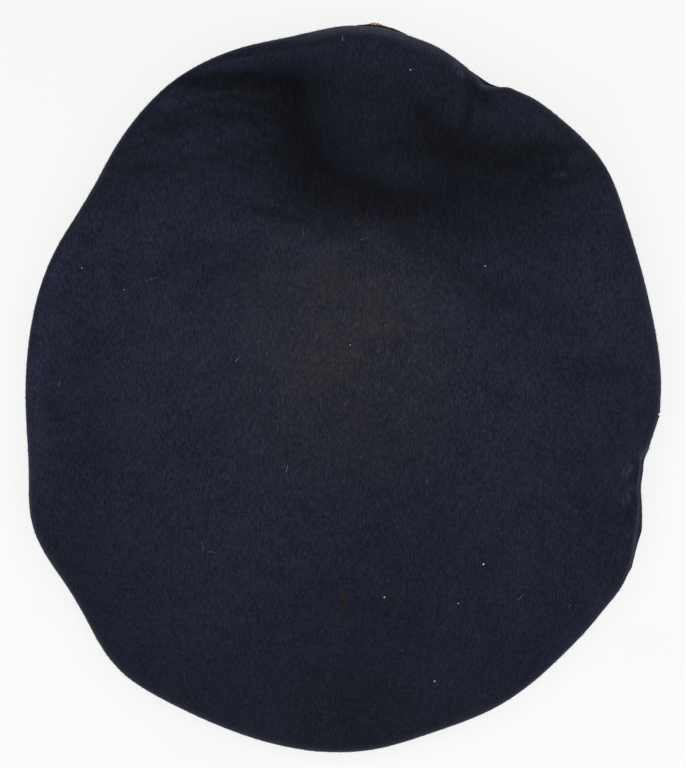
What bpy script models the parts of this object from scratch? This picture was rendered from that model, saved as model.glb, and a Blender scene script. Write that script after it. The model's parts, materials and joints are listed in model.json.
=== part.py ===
"""A soft navy wool officer's cap with no stiffener in its crown, lying as it was put down.

Metres, +Z up, the cap's front towards -Y and its wearer's left towards +X. Each piece is made in the cap's
own frame, where the band's lower edge lies in the plane z = 0 round the origin. All of them hang on one
empty, which tips the cap back until it rests on the peak's edge and on the rear of the band, and stands the
middle of its box over the origin.

A clock is an angle in degrees round the cap, seen from above: 0 at the front, 90 at the wearer's right, 180
at the rear and 270 at the wearer's left. A share is a part of the named size that it belongs to.
"""

from collections import namedtuple
from math import atan, cos, degrees, exp, pi, radians, sin, sqrt, tan

import bmesh
import bpy
from mathutils import Matrix, Vector

# Sizes: the head opening and the band
HEAD_LENGTH = 0.202
HEAD_WIDTH = 0.164
BAND_WALL = 0.0028
BAND_HEIGHT = 0.042

# Sizes: the crown, whose rises are counted from the band's upper edge, and to the seam round the rim
CROWN_LENGTH = 0.285
CROWN_WIDTH = 0.249
CROWN_SETBACK = 0.0125
CLOTH = 0.002
FRONT_RISE = 0.040
SIDE_RISE = 0.022
REAR_RISE = 0.012
CENTRE_RISE = 0.050
RIM_ROLL = 0.009
FOLD_HEIGHT = 0.010

# Sizes: the four quarters between the rim and the band
SEAM_LIP = 0.001
COLLAR = 0.003
FRONT_SAG = 0.004
SIDE_SAG = 0.012
REAR_SAG = 0.017
QUARTER_BULGE = 0.007
QUARTER_FOLD = 0.005

# Sizes: the peak, whose span is counted in degrees to each side and whose edge lies flat on the table to
# PEAK_TOUCH on each side of its middle
PEAK_REACH = 0.045
PEAK_DROP = 0.028
PEAK_WALL = 0.0025
PEAK_SPAN = 62.0
PEAK_TOUCH = 0.030
PEAK_ARCH = 0.003
PEAK_ROOT = 0.0005

# Sizes: the chin strap, whose span is counted in degrees to each side, and its two buttons
STRAP_WIDTH = 0.012
STRAP_WALL = 0.002
STRAP_SPAN = 70.0
BUTTON_WIDTH = 0.014
BUTTON_DEPTH = 0.0048

# Sizes: the badge on the front of the crown
BADGE_WIDTH = 0.048
BADGE_HEIGHT = 0.0405
BADGE_FOOT = 0.001
PAD_WALL = 0.0025
PAD_EDGE = 0.0009
WREATH_WIDTH = 0.0056
WREATH_MARGIN = 0.0014
WREATH_RELIEF = 0.0024
WREATH_LEAVES = 7
LOOP_WIDTH = 0.0105
LOOP_WIRE = 0.0017
LOOP_RELIEF = 0.0021
LOOP_INSET = 0.0004
KNOT_WIDTH = 0.0085
KNOT_HEIGHT = 0.0062
KNOT_RELIEF = 0.0030
BOSS_WIDTH = 0.0125
BOSS_HEIGHT = 0.0155
BOSS_RELIEF = 0.0038

# Clearances: between pieces that touch, between two quarters at their seam, and of the strap over the peak
GAP = 0.0003
SEAM_GAP = 0.0006
STRAP_CLEAR = 0.002

# The rim, seen from above: how far the seam reaches, as a share of the crown's half length and half width,
# and how far the quarter under it stands out past it, as a share of QUARTER_BULGE
Rim = namedtuple("Rim", "clock reach bulge")
RIM = (
    Rim(0, 0.992, 0.0),
    Rim(10, 0.972, 0.0),
    Rim(17, 0.950, 0.1),
    Rim(21, 0.934, 0.4),
    Rim(25, 0.922, 0.5),
    Rim(29, 0.966, 0.2),
    Rim(38, 0.987, 0.0),
    Rim(49, 1.008, 0.0),
    Rim(60, 0.984, 0.0),
    Rim(73, 0.982, 0.0),
    Rim(88, 1.000, 0.0),
    Rim(95, 0.980, 0.2),
    Rim(101, 0.944, 0.6),
    Rim(107, 0.988, 0.7),
    Rim(113, 1.034, 0.3),
    Rim(119, 1.045, 0.0),
    Rim(128, 1.017, 0.0),
    Rim(145, 1.008, 0.0),
    Rim(158, 0.988, 0.0),
    Rim(170, 0.998, 0.0),
    Rim(195, 0.995, 0.0),
    Rim(207, 1.010, 0.0),
    Rim(218, 1.040, 0.0),
    Rim(231, 1.010, 0.0),
    Rim(243, 1.046, 0.0),
    Rim(254, 1.008, 0.0),
    Rim(270, 1.008, 0.0),
    Rim(285, 1.003, 0.0),
    Rim(298, 0.970, 0.0),
    Rim(310, 0.993, 0.0),
    Rim(322, 1.008, 0.0),
    Rim(333, 0.995, 0.0),
    Rim(345, 0.974, 0.0),
)
RIM_LAPS = [row._replace(clock=row.clock + lap) for lap in (-360, 0, 360) for row in RIM]

# The crown's dents and folds: each runs from start through middle to end, places given as shares of the
# crown's half width to the wearer's left and of its half length to the rear. The half width is a share of
# the crown's half sizes, and the rise is a share of FOLD_HEIGHT, below zero for a crease
Fold = namedtuple("Fold", "name start middle end half_width rise")
FOLDS = (
    Fold("front hump", (0.02, -0.90), (-0.08, -0.78), (-0.18, -0.66), 0.24, 1.0),
    Fold("brow crease", (0.62, -0.76), (0.40, -0.78), (0.23, -0.76), 0.075, -0.50),
    Fold("crescent crease", (0.23, -0.76), (0.10, -0.54), (-0.36, -0.51), 0.085, -0.80),
    Fold("right hand hollow", (-0.17, -0.67), (-0.35, -0.64), (-0.52, -0.63), 0.080, -0.55),
    Fold("ridge behind the hollow", (-0.05, -0.57), (-0.34, -0.58), (-0.62, -0.60), 0.080, 0.30),
    Fold("right hand pinch", (-0.57, -0.58), (-0.63, -0.57), (-0.70, -0.56), 0.080, -0.30),
    Fold("trough behind the crescent", (0.50, -0.44), (0.00, -0.42), (-0.60, -0.36), 0.17, -0.30),
    Fold("slanting dent", (-0.20, -0.40), (-0.40, -0.30), (-0.58, -0.22), 0.10, -0.22),
    Fold("left shoulder wrinkle", (0.68, -0.66), (0.52, -0.64), (0.37, -0.62), 0.075, -0.25),
    Fold("left side wrinkle", (0.87, -0.26), (0.66, -0.30), (0.36, -0.37), 0.075, -0.25),
    Fold("left side dent", (0.95, -0.14), (0.84, -0.16), (0.72, -0.17), 0.12, -0.45),
    Fold("left side fold", (0.92, 0.12), (0.83, 0.16), (0.70, 0.20), 0.090, -0.35),
    Fold("right side fold", (-0.96, 0.14), (-0.91, 0.21), (-0.88, 0.30), 0.080, -0.40),
    Fold("notch dent", (-0.30, -0.87), (-0.35, -0.82), (-0.40, -0.78), 0.070, -0.40),
)

# The folds that the quarters hang in: each one's place and half width in degrees, and how far it stands
# out, as a share of QUARTER_FOLD, below zero where it is drawn in
Drape = namedtuple("Drape", "clock half_width push")
DRAPES = (
    Drape(38, 9, 0.5),
    Drape(58, 10, -0.6),
    Drape(76, 9, 0.5),
    Drape(104, 11, 0.4),
    Drape(128, 12, -0.6),
    Drape(150, 11, 0.6),
    Drape(172, 12, -0.4),
    Drape(196, 12, 0.6),
    Drape(222, 13, -0.6),
    Drape(246, 11, 0.5),
    Drape(268, 10, -0.5),
    Drape(290, 10, 0.6),
    Drape(312, 10, -0.5),
    Drape(328, 8, 0.4),
)

# The stations round the cap, in degrees: close together to FRONT_HALF on each side of the front, where the
# folds are, and wider apart behind
FRONT_HALF = 60.0
FRONT_STEP = 3.75
REAR_STEP = 6.0

# Shares of the way along a surface where its rings and rows of faces lie
CROWN_RINGS = (0.12, 0.28, 0.42, 0.53, 0.62, 0.70, 0.77, 0.84, 0.90, 0.955, 1.0)
ROLL_RINGS = (0.28, 0.55, 0.80, 1.0)
QUARTER_ROWS = (0.0, 0.10, 0.24, 0.42, 0.62, 0.82, 1.0)
PEAK_ROWS = (0.0, 0.10, 0.34, 0.67, 1.0)
PAD_RINGS = (0.4, 0.75)
DOME_RINGS = (0.97, 0.85, 0.62, 0.33)

# How finely curves are drawn
FOLD_STEPS = 8
SLOPE_ROUNDS = 4
PEAK_COLUMNS = 28
STRAP_COLUMNS = 36
STRAP_END_TURNS = (25.0, 50.0, 75.0)
BUTTON_SIDES = 16
PAD_SIDES = 32
LOOP_SIDES = 20
KNOT_SIDES = 12
BOSS_SIDES = 16

# Shapes: where a quarter's curve leaves the band, as a share of the way to the rim; a button from its axis
# out and back, as shares of its half width and depth; a raised ring's cross-section, as shares of its half
# width and relief; a leaf's width from its foot to its tip; and the turn at a dome's foot
KNEE = 0.35
BUTTON_OUTLINE = ((0.0, 0.0), (0.92, 0.0), (1.0, 0.22), (0.90, 0.58), (0.60, 0.88), (0.28, 0.98), (0.0, 1.0))
RIDGE_OUTLINE = ((-1.0, 0.0), (-0.85, 0.5), (0.0, 1.0), (0.85, 0.5), (1.0, 0.0))
LEAF_SWELL = (0.42, 0.80, 1.0, 0.88, 0.62)
DOME_TURN = radians(72)

# The finish of each piece: colour, roughness and metal
Finish = namedtuple("Finish", "colour roughness metallic")
NAVY_WOOL = Finish((0.014, 0.017, 0.032), 0.95, 0.0)
BAND_CLOTH = Finish((0.010, 0.011, 0.016), 0.85, 0.0)
BLACK_LEATHER = Finish((0.012, 0.011, 0.011), 0.35, 0.0)
BLACK_FELT = Finish((0.008, 0.008, 0.009), 0.95, 0.0)
OLD_GILT = Finish((0.62, 0.43, 0.17), 0.38, 1.0)


def clear_scene():
    for thing in list(bpy.data.objects):
        bpy.data.objects.remove(thing, do_unlink=True)


def stations():
    """The clocks round the cap, starting at the front and including the four seams."""
    near = [step * FRONT_STEP for step in range(int(FRONT_HALF / FRONT_STEP))]
    behind = [FRONT_HALF + step * REAR_STEP for step in range(int((360 - 2 * FRONT_HALF) / REAR_STEP))]
    return near + behind + [360 - FRONT_HALF + clock for clock in near]


def read_rim(clock, column):
    """A column of the rim table at any clock, smooth through its rows."""
    clock %= 360
    after = next(place for place, row in enumerate(RIM_LAPS) if row.clock > clock)
    rows = RIM_LAPS[after - 2:after + 2]
    places = [row.clock for row in rows]
    values = [getattr(row, column) for row in rows]
    span = places[2] - places[1]
    share = (clock - places[1]) / span
    leave = (values[2] - values[0]) / (places[2] - places[0]) * span
    arrive = (values[3] - values[1]) / (places[3] - places[1]) * span
    return (
        values[1] * (1 + 2 * share) * (1 - share) ** 2
        + leave * share * (1 - share) ** 2
        + values[2] * share ** 2 * (3 - 2 * share)
        + arrive * share ** 2 * (share - 1)
    )


def by_clock(front, side, rear, clock):
    """A size that changes smoothly from the front over the sides to the rear."""
    turn = cos(radians(clock))
    return side + (front - side) * max(turn, 0) - (rear - side) * min(turn, 0)


def heading(clock):
    return Vector((-sin(radians(clock)), -cos(radians(clock)), 0))


def band_point(clock, stand_off, height):
    """A point beside the band's outer face."""
    way = heading(clock)
    return Vector((
        way.x * (HEAD_WIDTH / 2 + BAND_WALL + stand_off),
        way.y * (HEAD_LENGTH / 2 + BAND_WALL + stand_off),
        height,
    ))


def band_normal(clock):
    """The way that the band's outer face looks."""
    way = heading(clock)
    long_half = HEAD_LENGTH / 2 + BAND_WALL
    wide_half = HEAD_WIDTH / 2 + BAND_WALL
    return Vector((way.x * long_half, way.y * wide_half, 0)).normalized()


def crown_centre():
    return Vector((0, CROWN_SETBACK, BAND_HEIGHT + CENTRE_RISE))


def rim_point(clock):
    """The seam between the crown's top and the quarters."""
    way = heading(clock)
    reach = read_rim(clock, "reach")
    return Vector((
        way.x * reach * CROWN_WIDTH / 2,
        CROWN_SETBACK + way.y * reach * CROWN_LENGTH / 2,
        BAND_HEIGHT + by_clock(FRONT_RISE, SIDE_RISE, REAR_RISE, clock),
    ))


def fold_line(fold):
    """Points along a fold, on the smooth curve through its three places."""
    start, middle, end = (Vector(place) for place in (fold.start, fold.middle, fold.end))
    bend = 2 * middle - (start + end) / 2
    shares = [step / FOLD_STEPS for step in range(FOLD_STEPS + 1)]
    return [start * (1 - share) ** 2 + bend * 2 * share * (1 - share) + end * share ** 2 for share in shares]


def distance_to_line(place, line):
    """The distance in plan from a place to a broken line, in shares of the crown's half sizes."""
    gaps = []
    for start, end in zip(line, line[1:]):
        run = end - start
        share = min(max((place - start).dot(run) / run.length_squared, 0), 1)
        gaps.append((place - start - run * share).length)
    return min(gaps)


def fold_rise(point):
    """How far the dents and folds lift the crown at a point."""
    place = Vector((point.x / (CROWN_WIDTH / 2), (point.y - CROWN_SETBACK) / (CROWN_LENGTH / 2)))
    rise = 0
    for fold in FOLDS:
        rise += fold.rise * exp(-((distance_to_line(place, fold_line(fold)) / fold.half_width) ** 2))
    return rise * FOLD_HEIGHT


def crown_column(clock):
    """Points on the crown's upper face along one station, from near its middle out and down to its seam."""
    centre = crown_centre()
    seam = rim_point(clock)
    out = Vector((seam.x, seam.y - centre.y, 0))
    reach = out.length
    out.normalize()
    slope = 0
    for _ in range(SLOPE_ROUNDS):
        inner_reach = reach - RIM_ROLL * (1 - sin(slope))
        edge_height = seam.z + SEAM_LIP + RIM_ROLL * cos(slope)
        slope = atan(2 * (centre.z - edge_height) / inner_reach)
    column = []
    for share in CROWN_RINGS:
        point = centre + out * (share * inner_reach)
        point.z += (edge_height - centre.z) * share ** 2
        point.z += fold_rise(point)
        column.append(point)
    edge_fold = fold_rise(centre + out * inner_reach)
    for share in ROLL_RINGS:
        turn = slope + share * (pi / 2 - slope)
        point = centre + out * (reach - RIM_ROLL * (1 - sin(turn)))
        point.z = seam.z + SEAM_LIP + RIM_ROLL * cos(turn) + edge_fold * (1 - share) ** 2
        column.append(point)
    column.append(seam)
    return column


def quarter_column(clock):
    """Points on a quarter's outer face along one station, from the rim's seam in and down to the band."""
    seam = rim_point(clock) - Vector((0, 0, GAP))
    lip = seam - Vector((0, 0, SEAM_LIP))
    sag = lip - Vector((0, 0, by_clock(FRONT_SAG, SIDE_SAG, REAR_SAG, clock)))
    collar = band_point(clock, 0, BAND_HEIGHT + GAP + COLLAR)
    knee = collar.lerp(sag, KNEE)
    out = Vector((lip.x - collar.x, lip.y - collar.y, 0)).normalized()
    bulge = QUARTER_BULGE * read_rim(clock, "bulge")
    drape = 0
    for fold in DRAPES:
        drape += fold.push * exp(-(((clock - fold.clock) / fold.half_width) ** 2))
    column = [seam]
    for share in QUARTER_ROWS:
        point = (
            lip * (1 - share) ** 3
            + sag * 3 * share * (1 - share) ** 2
            + knee * 3 * share ** 2 * (1 - share)
            + collar * share ** 3
        )
        point += out * (bulge * sin(pi * sqrt(share)) + QUARTER_FOLD * drape * sin(pi * share) ** 2)
        column.append(point)
    column.append(band_point(clock, 0, BAND_HEIGHT + GAP))
    return column


def new_object(name, body, finish, smooth_angle=None):
    """A named object from a filled bmesh, with its own material."""
    mesh = bpy.data.meshes.new(name)
    body.to_mesh(mesh)
    body.free()
    if smooth_angle is not None:
        mesh.shade_smooth()
        mesh.set_sharp_from_angle(angle=radians(smooth_angle))
    material = bpy.data.materials.new(name + "_finish")
    material.use_nodes = True
    shader = material.node_tree.nodes["Principled BSDF"]
    shader.inputs["Base Color"].default_value = (*finish.colour, 1)
    shader.inputs["Roughness"].default_value = finish.roughness
    shader.inputs["Metallic"].default_value = finish.metallic
    mesh.materials.append(material)
    made = bpy.data.objects.new(name, mesh)
    bpy.context.scene.collection.objects.link(made)
    return made


def add_cloth_wall(made):
    """Grows an open sheet inwards, so that its own faces stay the outer ones."""
    wall = made.modifiers.new("cloth", "SOLIDIFY")
    wall.thickness = CLOTH
    wall.offset = -1


def add_grid(body, columns, closed):
    """Joins columns of points by faces that look up or out, where the clock runs on between columns."""
    rows = [[body.verts.new(point) for point in column] for column in columns]
    pairs = list(zip(rows, rows[1:]))
    if closed:
        pairs.append((rows[-1], rows[0]))
    for here, there in pairs:
        for row in range(len(here) - 1):
            body.faces.new((here[row], there[row], there[row + 1], here[row + 1]))
    return rows


def add_fan(body, ring, point):
    """Closes a ring of vertices with a fan round one point."""
    middle = body.verts.new(point)
    for here, there in zip(ring, ring[1:] + ring[:1]):
        body.faces.new((middle, there, here))


def add_tube(body, outlines, closed):
    """Joins closed outlines into a tube, and caps its two ends unless it runs round into itself."""
    rows = add_grid(body, outlines, closed)
    pairs = list(zip(rows, rows[1:]))
    if closed:
        pairs.append((rows[-1], rows[0]))
    for here, there in pairs:
        body.faces.new((here[-1], there[-1], there[0], here[0]))
    if not closed:
        for end in (rows[0], rows[-1]):
            for row in range(len(end) // 2 - 1):
                body.faces.new((end[row], end[row + 1], end[-2 - row], end[-1 - row]))
    bmesh.ops.recalc_face_normals(body, faces=body.faces)


def add_stack(body, rings, bottom, top):
    """A closed body from rings of points, one over the other, and its two end points."""
    rows = add_grid(body, [list(column) for column in zip(*rings)], closed=True)
    add_fan(body, [column[0] for column in rows], bottom)
    add_fan(body, [column[-1] for column in rows], top)
    bmesh.ops.recalc_face_normals(body, faces=body.faces)


def make_crown_top():
    body = bmesh.new()
    rows = add_grid(body, [crown_column(clock) for clock in stations()], closed=True)
    middle = crown_centre()
    middle.z += fold_rise(middle)
    add_fan(body, [column[0] for column in rows], middle)
    made = new_object("crown_top", body, NAVY_WOOL, smooth_angle=60)
    add_cloth_wall(made)
    return made


def make_quarter(name, first, last):
    """One quarter between two seams, held clear of its neighbours."""
    ease = degrees(SEAM_GAP / HEAD_WIDTH)
    clocks = [first + ease]
    clocks += [clock for clock in stations() if first < clock < last]
    clocks += [last - ease]
    body = bmesh.new()
    add_grid(body, [quarter_column(clock) for clock in clocks], closed=False)
    made = new_object(name, body, NAVY_WOOL, smooth_angle=60)
    add_cloth_wall(made)
    return made


def make_band():
    body = bmesh.new()
    outlines = []
    for clock in stations():
        outer = [band_point(clock, 0, 0), band_point(clock, 0, BAND_HEIGHT)]
        inner = [point - band_normal(clock) * BAND_WALL for point in reversed(outer)]
        outlines.append(outer + inner)
    add_tube(body, outlines, closed=True)
    return new_object("band", body, BAND_CLOTH, smooth_angle=30)


def rest_tilt():
    """How far the cap tips back when the peak's edge and the rear of the band stand on a table."""
    return atan(PEAK_DROP / (HEAD_LENGTH + 2 * BAND_WALL + PEAK_REACH))


def table_height(along):
    """The height of the table in the cap's own frame."""
    return -(HEAD_LENGTH / 2 + BAND_WALL - along) * tan(rest_tilt())


def peak_point(turn, share):
    """A point on the peak's underside: turn runs from -1 at one temple to 1 at the other."""
    root = band_point(turn * PEAK_SPAN, GAP, PEAK_ROOT)
    temple = band_point(PEAK_SPAN, GAP, PEAK_ROOT)
    tip = band_point(0, PEAK_REACH, 0)
    edge = Vector((temple.x * sin(turn * pi / 2), temple.y + (tip.y - temple.y) * cos(turn * pi / 2), 0))
    aside = max(abs(edge.x) - PEAK_TOUCH, 0) / (abs(temple.x) - PEAK_TOUCH)
    edge.z = table_height(edge.y) + (PEAK_ROOT - table_height(temple.y)) * aside ** 2
    point = root.lerp(edge, share)
    point.z += PEAK_ARCH * 4 * share * (1 - share) * (1 - turn ** 4)
    return point


def make_peak():
    body = bmesh.new()
    outlines = []
    for column in range(1, PEAK_COLUMNS):
        under = [peak_point(2 * column / PEAK_COLUMNS - 1, share) for share in PEAK_ROWS]
        over = [point + Vector((0, 0, PEAK_WALL)) for point in reversed(under)]
        outlines.append(under + over)
    add_tube(body, outlines, closed=False)
    return new_object("peak", body, BLACK_LEATHER, smooth_angle=40)


def strap_height():
    """The height of the strap's middle line, which keeps the strap clear of the peak's root."""
    return PEAK_ROOT + PEAK_WALL + STRAP_CLEAR + STRAP_WIDTH / 2


def strap_sections():
    """The strap's stations, as a clock and a share of its half width, rounded at both ends."""
    end_reach = degrees(STRAP_WIDTH / HEAD_LENGTH)
    sections = [(STRAP_SPAN * (2 * column / STRAP_COLUMNS - 1), 1) for column in range(STRAP_COLUMNS + 1)]
    for turn in STRAP_END_TURNS:
        beyond = STRAP_SPAN + end_reach * sin(radians(turn))
        sections.append((beyond, cos(radians(turn))))
        sections.insert(0, (-beyond, cos(radians(turn))))
    return sections


def make_chin_strap():
    body = bmesh.new()
    outlines = []
    for clock, share in strap_sections():
        low = strap_height() - share * STRAP_WIDTH / 2
        high = strap_height() + share * STRAP_WIDTH / 2
        inner = [band_point(clock, GAP, height) for height in (low, high)]
        outer = [band_point(clock, GAP + STRAP_WALL, height) for height in (high, low)]
        outlines.append(inner + outer)
    add_tube(body, outlines, closed=False)
    return new_object("chin_strap", body, BLACK_LEATHER, smooth_angle=30)


def make_button(name, clock):
    """A domed button on the strap's end, turned about its own axis."""
    body = bmesh.new()
    outline = [body.verts.new((share * BUTTON_WIDTH / 2, 0, height * BUTTON_DEPTH))
               for share, height in BUTTON_OUTLINE]
    edges = [body.edges.new(pair) for pair in zip(outline, outline[1:])]
    bmesh.ops.spin(body, geom=outline + edges, cent=(0, 0, 0), axis=(0, 0, 1), dvec=(0, 0, 0),
                   angle=2 * pi, steps=BUTTON_SIDES, use_merge=True)
    bmesh.ops.remove_doubles(body, verts=body.verts, dist=GAP / 10)
    bmesh.ops.recalc_face_normals(body, faces=body.faces)
    turn = Vector((0, 0, 1)).rotation_difference(band_normal(clock)).to_matrix().to_4x4()
    seat = band_point(clock, GAP + STRAP_WALL + GAP, strap_height())
    bmesh.ops.transform(body, matrix=Matrix.Translation(seat) @ turn, verts=body.verts)
    return new_object(name, body, OLD_GILT, smooth_angle=40)


def on_badge(across, along, proud):
    """A point on the badge, which leans on the crown's front and is bent as gently as its rim."""
    collar = quarter_column(0)[-2]
    sag = rim_point(0) - Vector((0, 0, GAP + SEAM_LIP + FRONT_SAG))
    up = (sag - collar).normalized()
    out = Vector((0, -up.z, up.y))
    bend = (CROWN_WIDTH / 2) ** 2 / (CROWN_LENGTH / 2)
    turn = across / bend
    point = collar + up * (BADGE_FOOT + along) + out * (GAP + (bend + proud) * cos(turn) - bend)
    point.x += (bend + proud) * sin(turn)
    return point


def badge_ring(half_width, half_height, middle, proud, sides):
    """An oval ring of points round a place on the badge's middle line."""
    turns = [2 * pi * side / sides for side in range(sides)]
    return [on_badge(half_width * sin(turn), middle + half_height * cos(turn), proud) for turn in turns]


def make_badge_backing():
    body = bmesh.new()
    middle = BADGE_HEIGHT / 2
    sections = [(share, 0, 0) for share in PAD_RINGS] + [(1, 0, 0), (1, 0, PAD_WALL - PAD_EDGE)]
    sections += [(1, PAD_EDGE, PAD_WALL)] + [(share, 0, PAD_WALL) for share in reversed(PAD_RINGS)]
    rings = [
        badge_ring(share * BADGE_WIDTH / 2 - trim, share * middle - trim, middle, proud, PAD_SIDES)
        for share, trim, proud in sections
    ]
    add_stack(body, rings, on_badge(0, middle, 0), on_badge(0, middle, PAD_WALL))
    return new_object("badge_backing", body, BLACK_FELT, smooth_angle=40)


def wreath_sizes():
    """The half width, half height and middle of the wreath's centre line, whose top meets the loop."""
    foot = WREATH_MARGIN + WREATH_WIDTH / 2
    top = BADGE_HEIGHT - LOOP_INSET - LOOP_WIDTH + LOOP_WIRE
    return BADGE_WIDTH / 2 - foot, (top - foot) / 2, (top + foot) / 2


def ring_outline(turn, half_width, half_height, middle, half_wide, relief):
    """The outline of a raised ring where it is cut across, at a turn from its top."""
    outline = []
    for side, share in RIDGE_OUTLINE:
        across = (half_width + side * half_wide) * sin(turn)
        along = middle + (half_height + side * half_wide) * cos(turn)
        outline.append(on_badge(across, along, PAD_WALL + GAP + share * relief))
    return outline


def make_wreath_leaves():
    """Two branches of leaves that rise from the foot, each leaf swelling and running out to its tip."""
    body = bmesh.new()
    half = WREATH_LEAVES * len(LEAF_SWELL)
    outlines = []
    for section in range(2 * half):
        swell = LEAF_SWELL[(half - section) % len(LEAF_SWELL)]
        if section > half:
            swell = LEAF_SWELL[(section - half) % len(LEAF_SWELL)]
        outlines.append(ring_outline(
            pi * section / half, *wreath_sizes(), swell * WREATH_WIDTH / 2, sqrt(swell) * WREATH_RELIEF))
    add_tube(body, outlines, closed=True)
    return new_object("badge_wreath", body, OLD_GILT, smooth_angle=35)


def make_wreath_loop():
    """The small open loop at the badge's top, which shows past the crown's rim."""
    body = bmesh.new()
    mean = (LOOP_WIDTH - LOOP_WIRE) / 2
    middle = BADGE_HEIGHT - LOOP_INSET - LOOP_WIDTH / 2
    outlines = [
        ring_outline(2 * pi * side / LOOP_SIDES, mean, mean, middle, LOOP_WIRE / 2, LOOP_RELIEF)
        for side in range(LOOP_SIDES)
    ]
    add_tube(body, outlines, closed=True)
    return new_object("wreath_loop", body, OLD_GILT)


def make_dome(name, width, height, middle, relief, sides):
    """An oval dome on the badge's face."""
    body = bmesh.new()
    base = PAD_WALL + GAP
    rings = [badge_ring(width / 2, height / 2, middle, base, sides)]
    for share in DOME_RINGS:
        proud = base + relief * cos(share * DOME_TURN)
        rings.append(badge_ring(share * width / 2, share * height / 2, middle, proud, sides))
    add_stack(body, rings, on_badge(0, middle, base), on_badge(0, middle, base + relief))
    return new_object(name, body, OLD_GILT, smooth_angle=40)


def unite(made, others):
    """Unites hidden guide bodies with a piece, so that it is one solid."""
    for other in others:
        other.hide_render = True
        other.display_type = "WIRE"
        union = made.modifiers.new("with_" + other.name, "BOOLEAN")
        union.operation = "UNION"
        union.solver = "EXACT"
        union.object = other


def make_badge():
    _, half_height, middle = wreath_sizes()
    backing = make_badge_backing()
    wreath = make_wreath_leaves()
    loop = make_wreath_loop()
    knot = make_dome("wreath_knot", KNOT_WIDTH, KNOT_HEIGHT, middle - half_height, KNOT_RELIEF, KNOT_SIDES)
    unite(wreath, [loop, knot])
    boss = make_dome("badge_boss", BOSS_WIDTH, BOSS_HEIGHT, middle, BOSS_RELIEF, BOSS_SIDES)
    return [backing, wreath, boss, loop, knot]


def settle(pieces):
    """Tips the cap back to rest and stands the middle of its box over the origin."""
    rest = bpy.data.objects.new("rest", None)
    bpy.context.scene.collection.objects.link(rest)
    rest.rotation_euler = (-rest_tilt(), 0, 0)
    for piece in pieces:
        piece.parent = rest
    bpy.context.view_layer.update()
    view = bpy.context.evaluated_depsgraph_get()
    corners = []
    for piece in pieces:
        if not piece.hide_render:
            seen = piece.evaluated_get(view)
            corners += [seen.matrix_world @ vertex.co for vertex in seen.to_mesh().vertices]
            seen.to_mesh_clear()
    low = [min(corner[axis] for corner in corners) for axis in range(3)]
    high = [max(corner[axis] for corner in corners) for axis in range(3)]
    rest.location = (-(low[0] + high[0]) / 2, -(low[1] + high[1]) / 2, -low[2])


def main():
    clear_scene()
    pieces = [
        make_crown_top(),
        make_quarter("quarter_front_right", 0, 90),
        make_quarter("quarter_back_right", 90, 180),
        make_quarter("quarter_back_left", 180, 270),
        make_quarter("quarter_front_left", 270, 360),
        make_band(),
        make_peak(),
        make_chin_strap(),
        make_button("strap_button_right", STRAP_SPAN),
        make_button("strap_button_left", -STRAP_SPAN),
    ]
    settle(pieces + make_badge())


main()
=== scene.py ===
# %% [markdown]
# A soft officer's cap of napped navy wool, lying on a pale table and seen from above. Its crown has no
# stiffener, so it flops out over the band and hides what is under it. This lesson takes the solids that
# hold the cap's real sizes, gives each cloth and leather piece its finer shape, and then its finish.
#
# The first cell loads those solids. Each one is named for the piece it stands for.

# %% Load the frame
import json
import math
import random
from collections import namedtuple

import bmesh
import bpy
import numpy as np
from mathutils import Matrix, Vector, noise
from mathutils.bvhtree import BVHTree
from mathutils.kdtree import KDTree

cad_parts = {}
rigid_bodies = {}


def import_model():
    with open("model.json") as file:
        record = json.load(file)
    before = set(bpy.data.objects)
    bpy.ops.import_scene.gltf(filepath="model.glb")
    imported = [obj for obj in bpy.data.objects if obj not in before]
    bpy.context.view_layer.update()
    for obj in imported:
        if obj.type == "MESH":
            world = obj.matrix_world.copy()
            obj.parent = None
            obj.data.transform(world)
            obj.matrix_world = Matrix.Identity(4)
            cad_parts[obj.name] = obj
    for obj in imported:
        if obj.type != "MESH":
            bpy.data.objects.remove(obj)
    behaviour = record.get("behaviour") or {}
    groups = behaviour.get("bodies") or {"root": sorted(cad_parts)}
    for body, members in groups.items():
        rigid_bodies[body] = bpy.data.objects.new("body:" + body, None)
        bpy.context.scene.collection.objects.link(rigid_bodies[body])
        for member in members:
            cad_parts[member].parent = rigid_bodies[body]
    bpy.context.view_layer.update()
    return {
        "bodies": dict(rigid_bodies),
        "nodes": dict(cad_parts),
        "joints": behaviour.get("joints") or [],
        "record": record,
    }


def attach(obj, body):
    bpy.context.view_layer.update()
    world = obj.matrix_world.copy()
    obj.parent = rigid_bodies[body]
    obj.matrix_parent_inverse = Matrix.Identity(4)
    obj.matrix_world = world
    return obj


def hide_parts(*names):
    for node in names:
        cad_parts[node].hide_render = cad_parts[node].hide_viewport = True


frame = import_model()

print("solids:", ", ".join(sorted(frame["nodes"])))

# %% [markdown]
# On the table the cap tips back a little, because the peak reaches lower than the band. Folds, seams and
# stitches are easier to place in the cap's own frame, where the band stands upright round the origin. The
# record says how the band's lower edge leans, and that edge's middle is where the cap's own frame starts.

# %% Find the cap's own frame
MM = 0.001
WELD = 0.01 * MM

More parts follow.
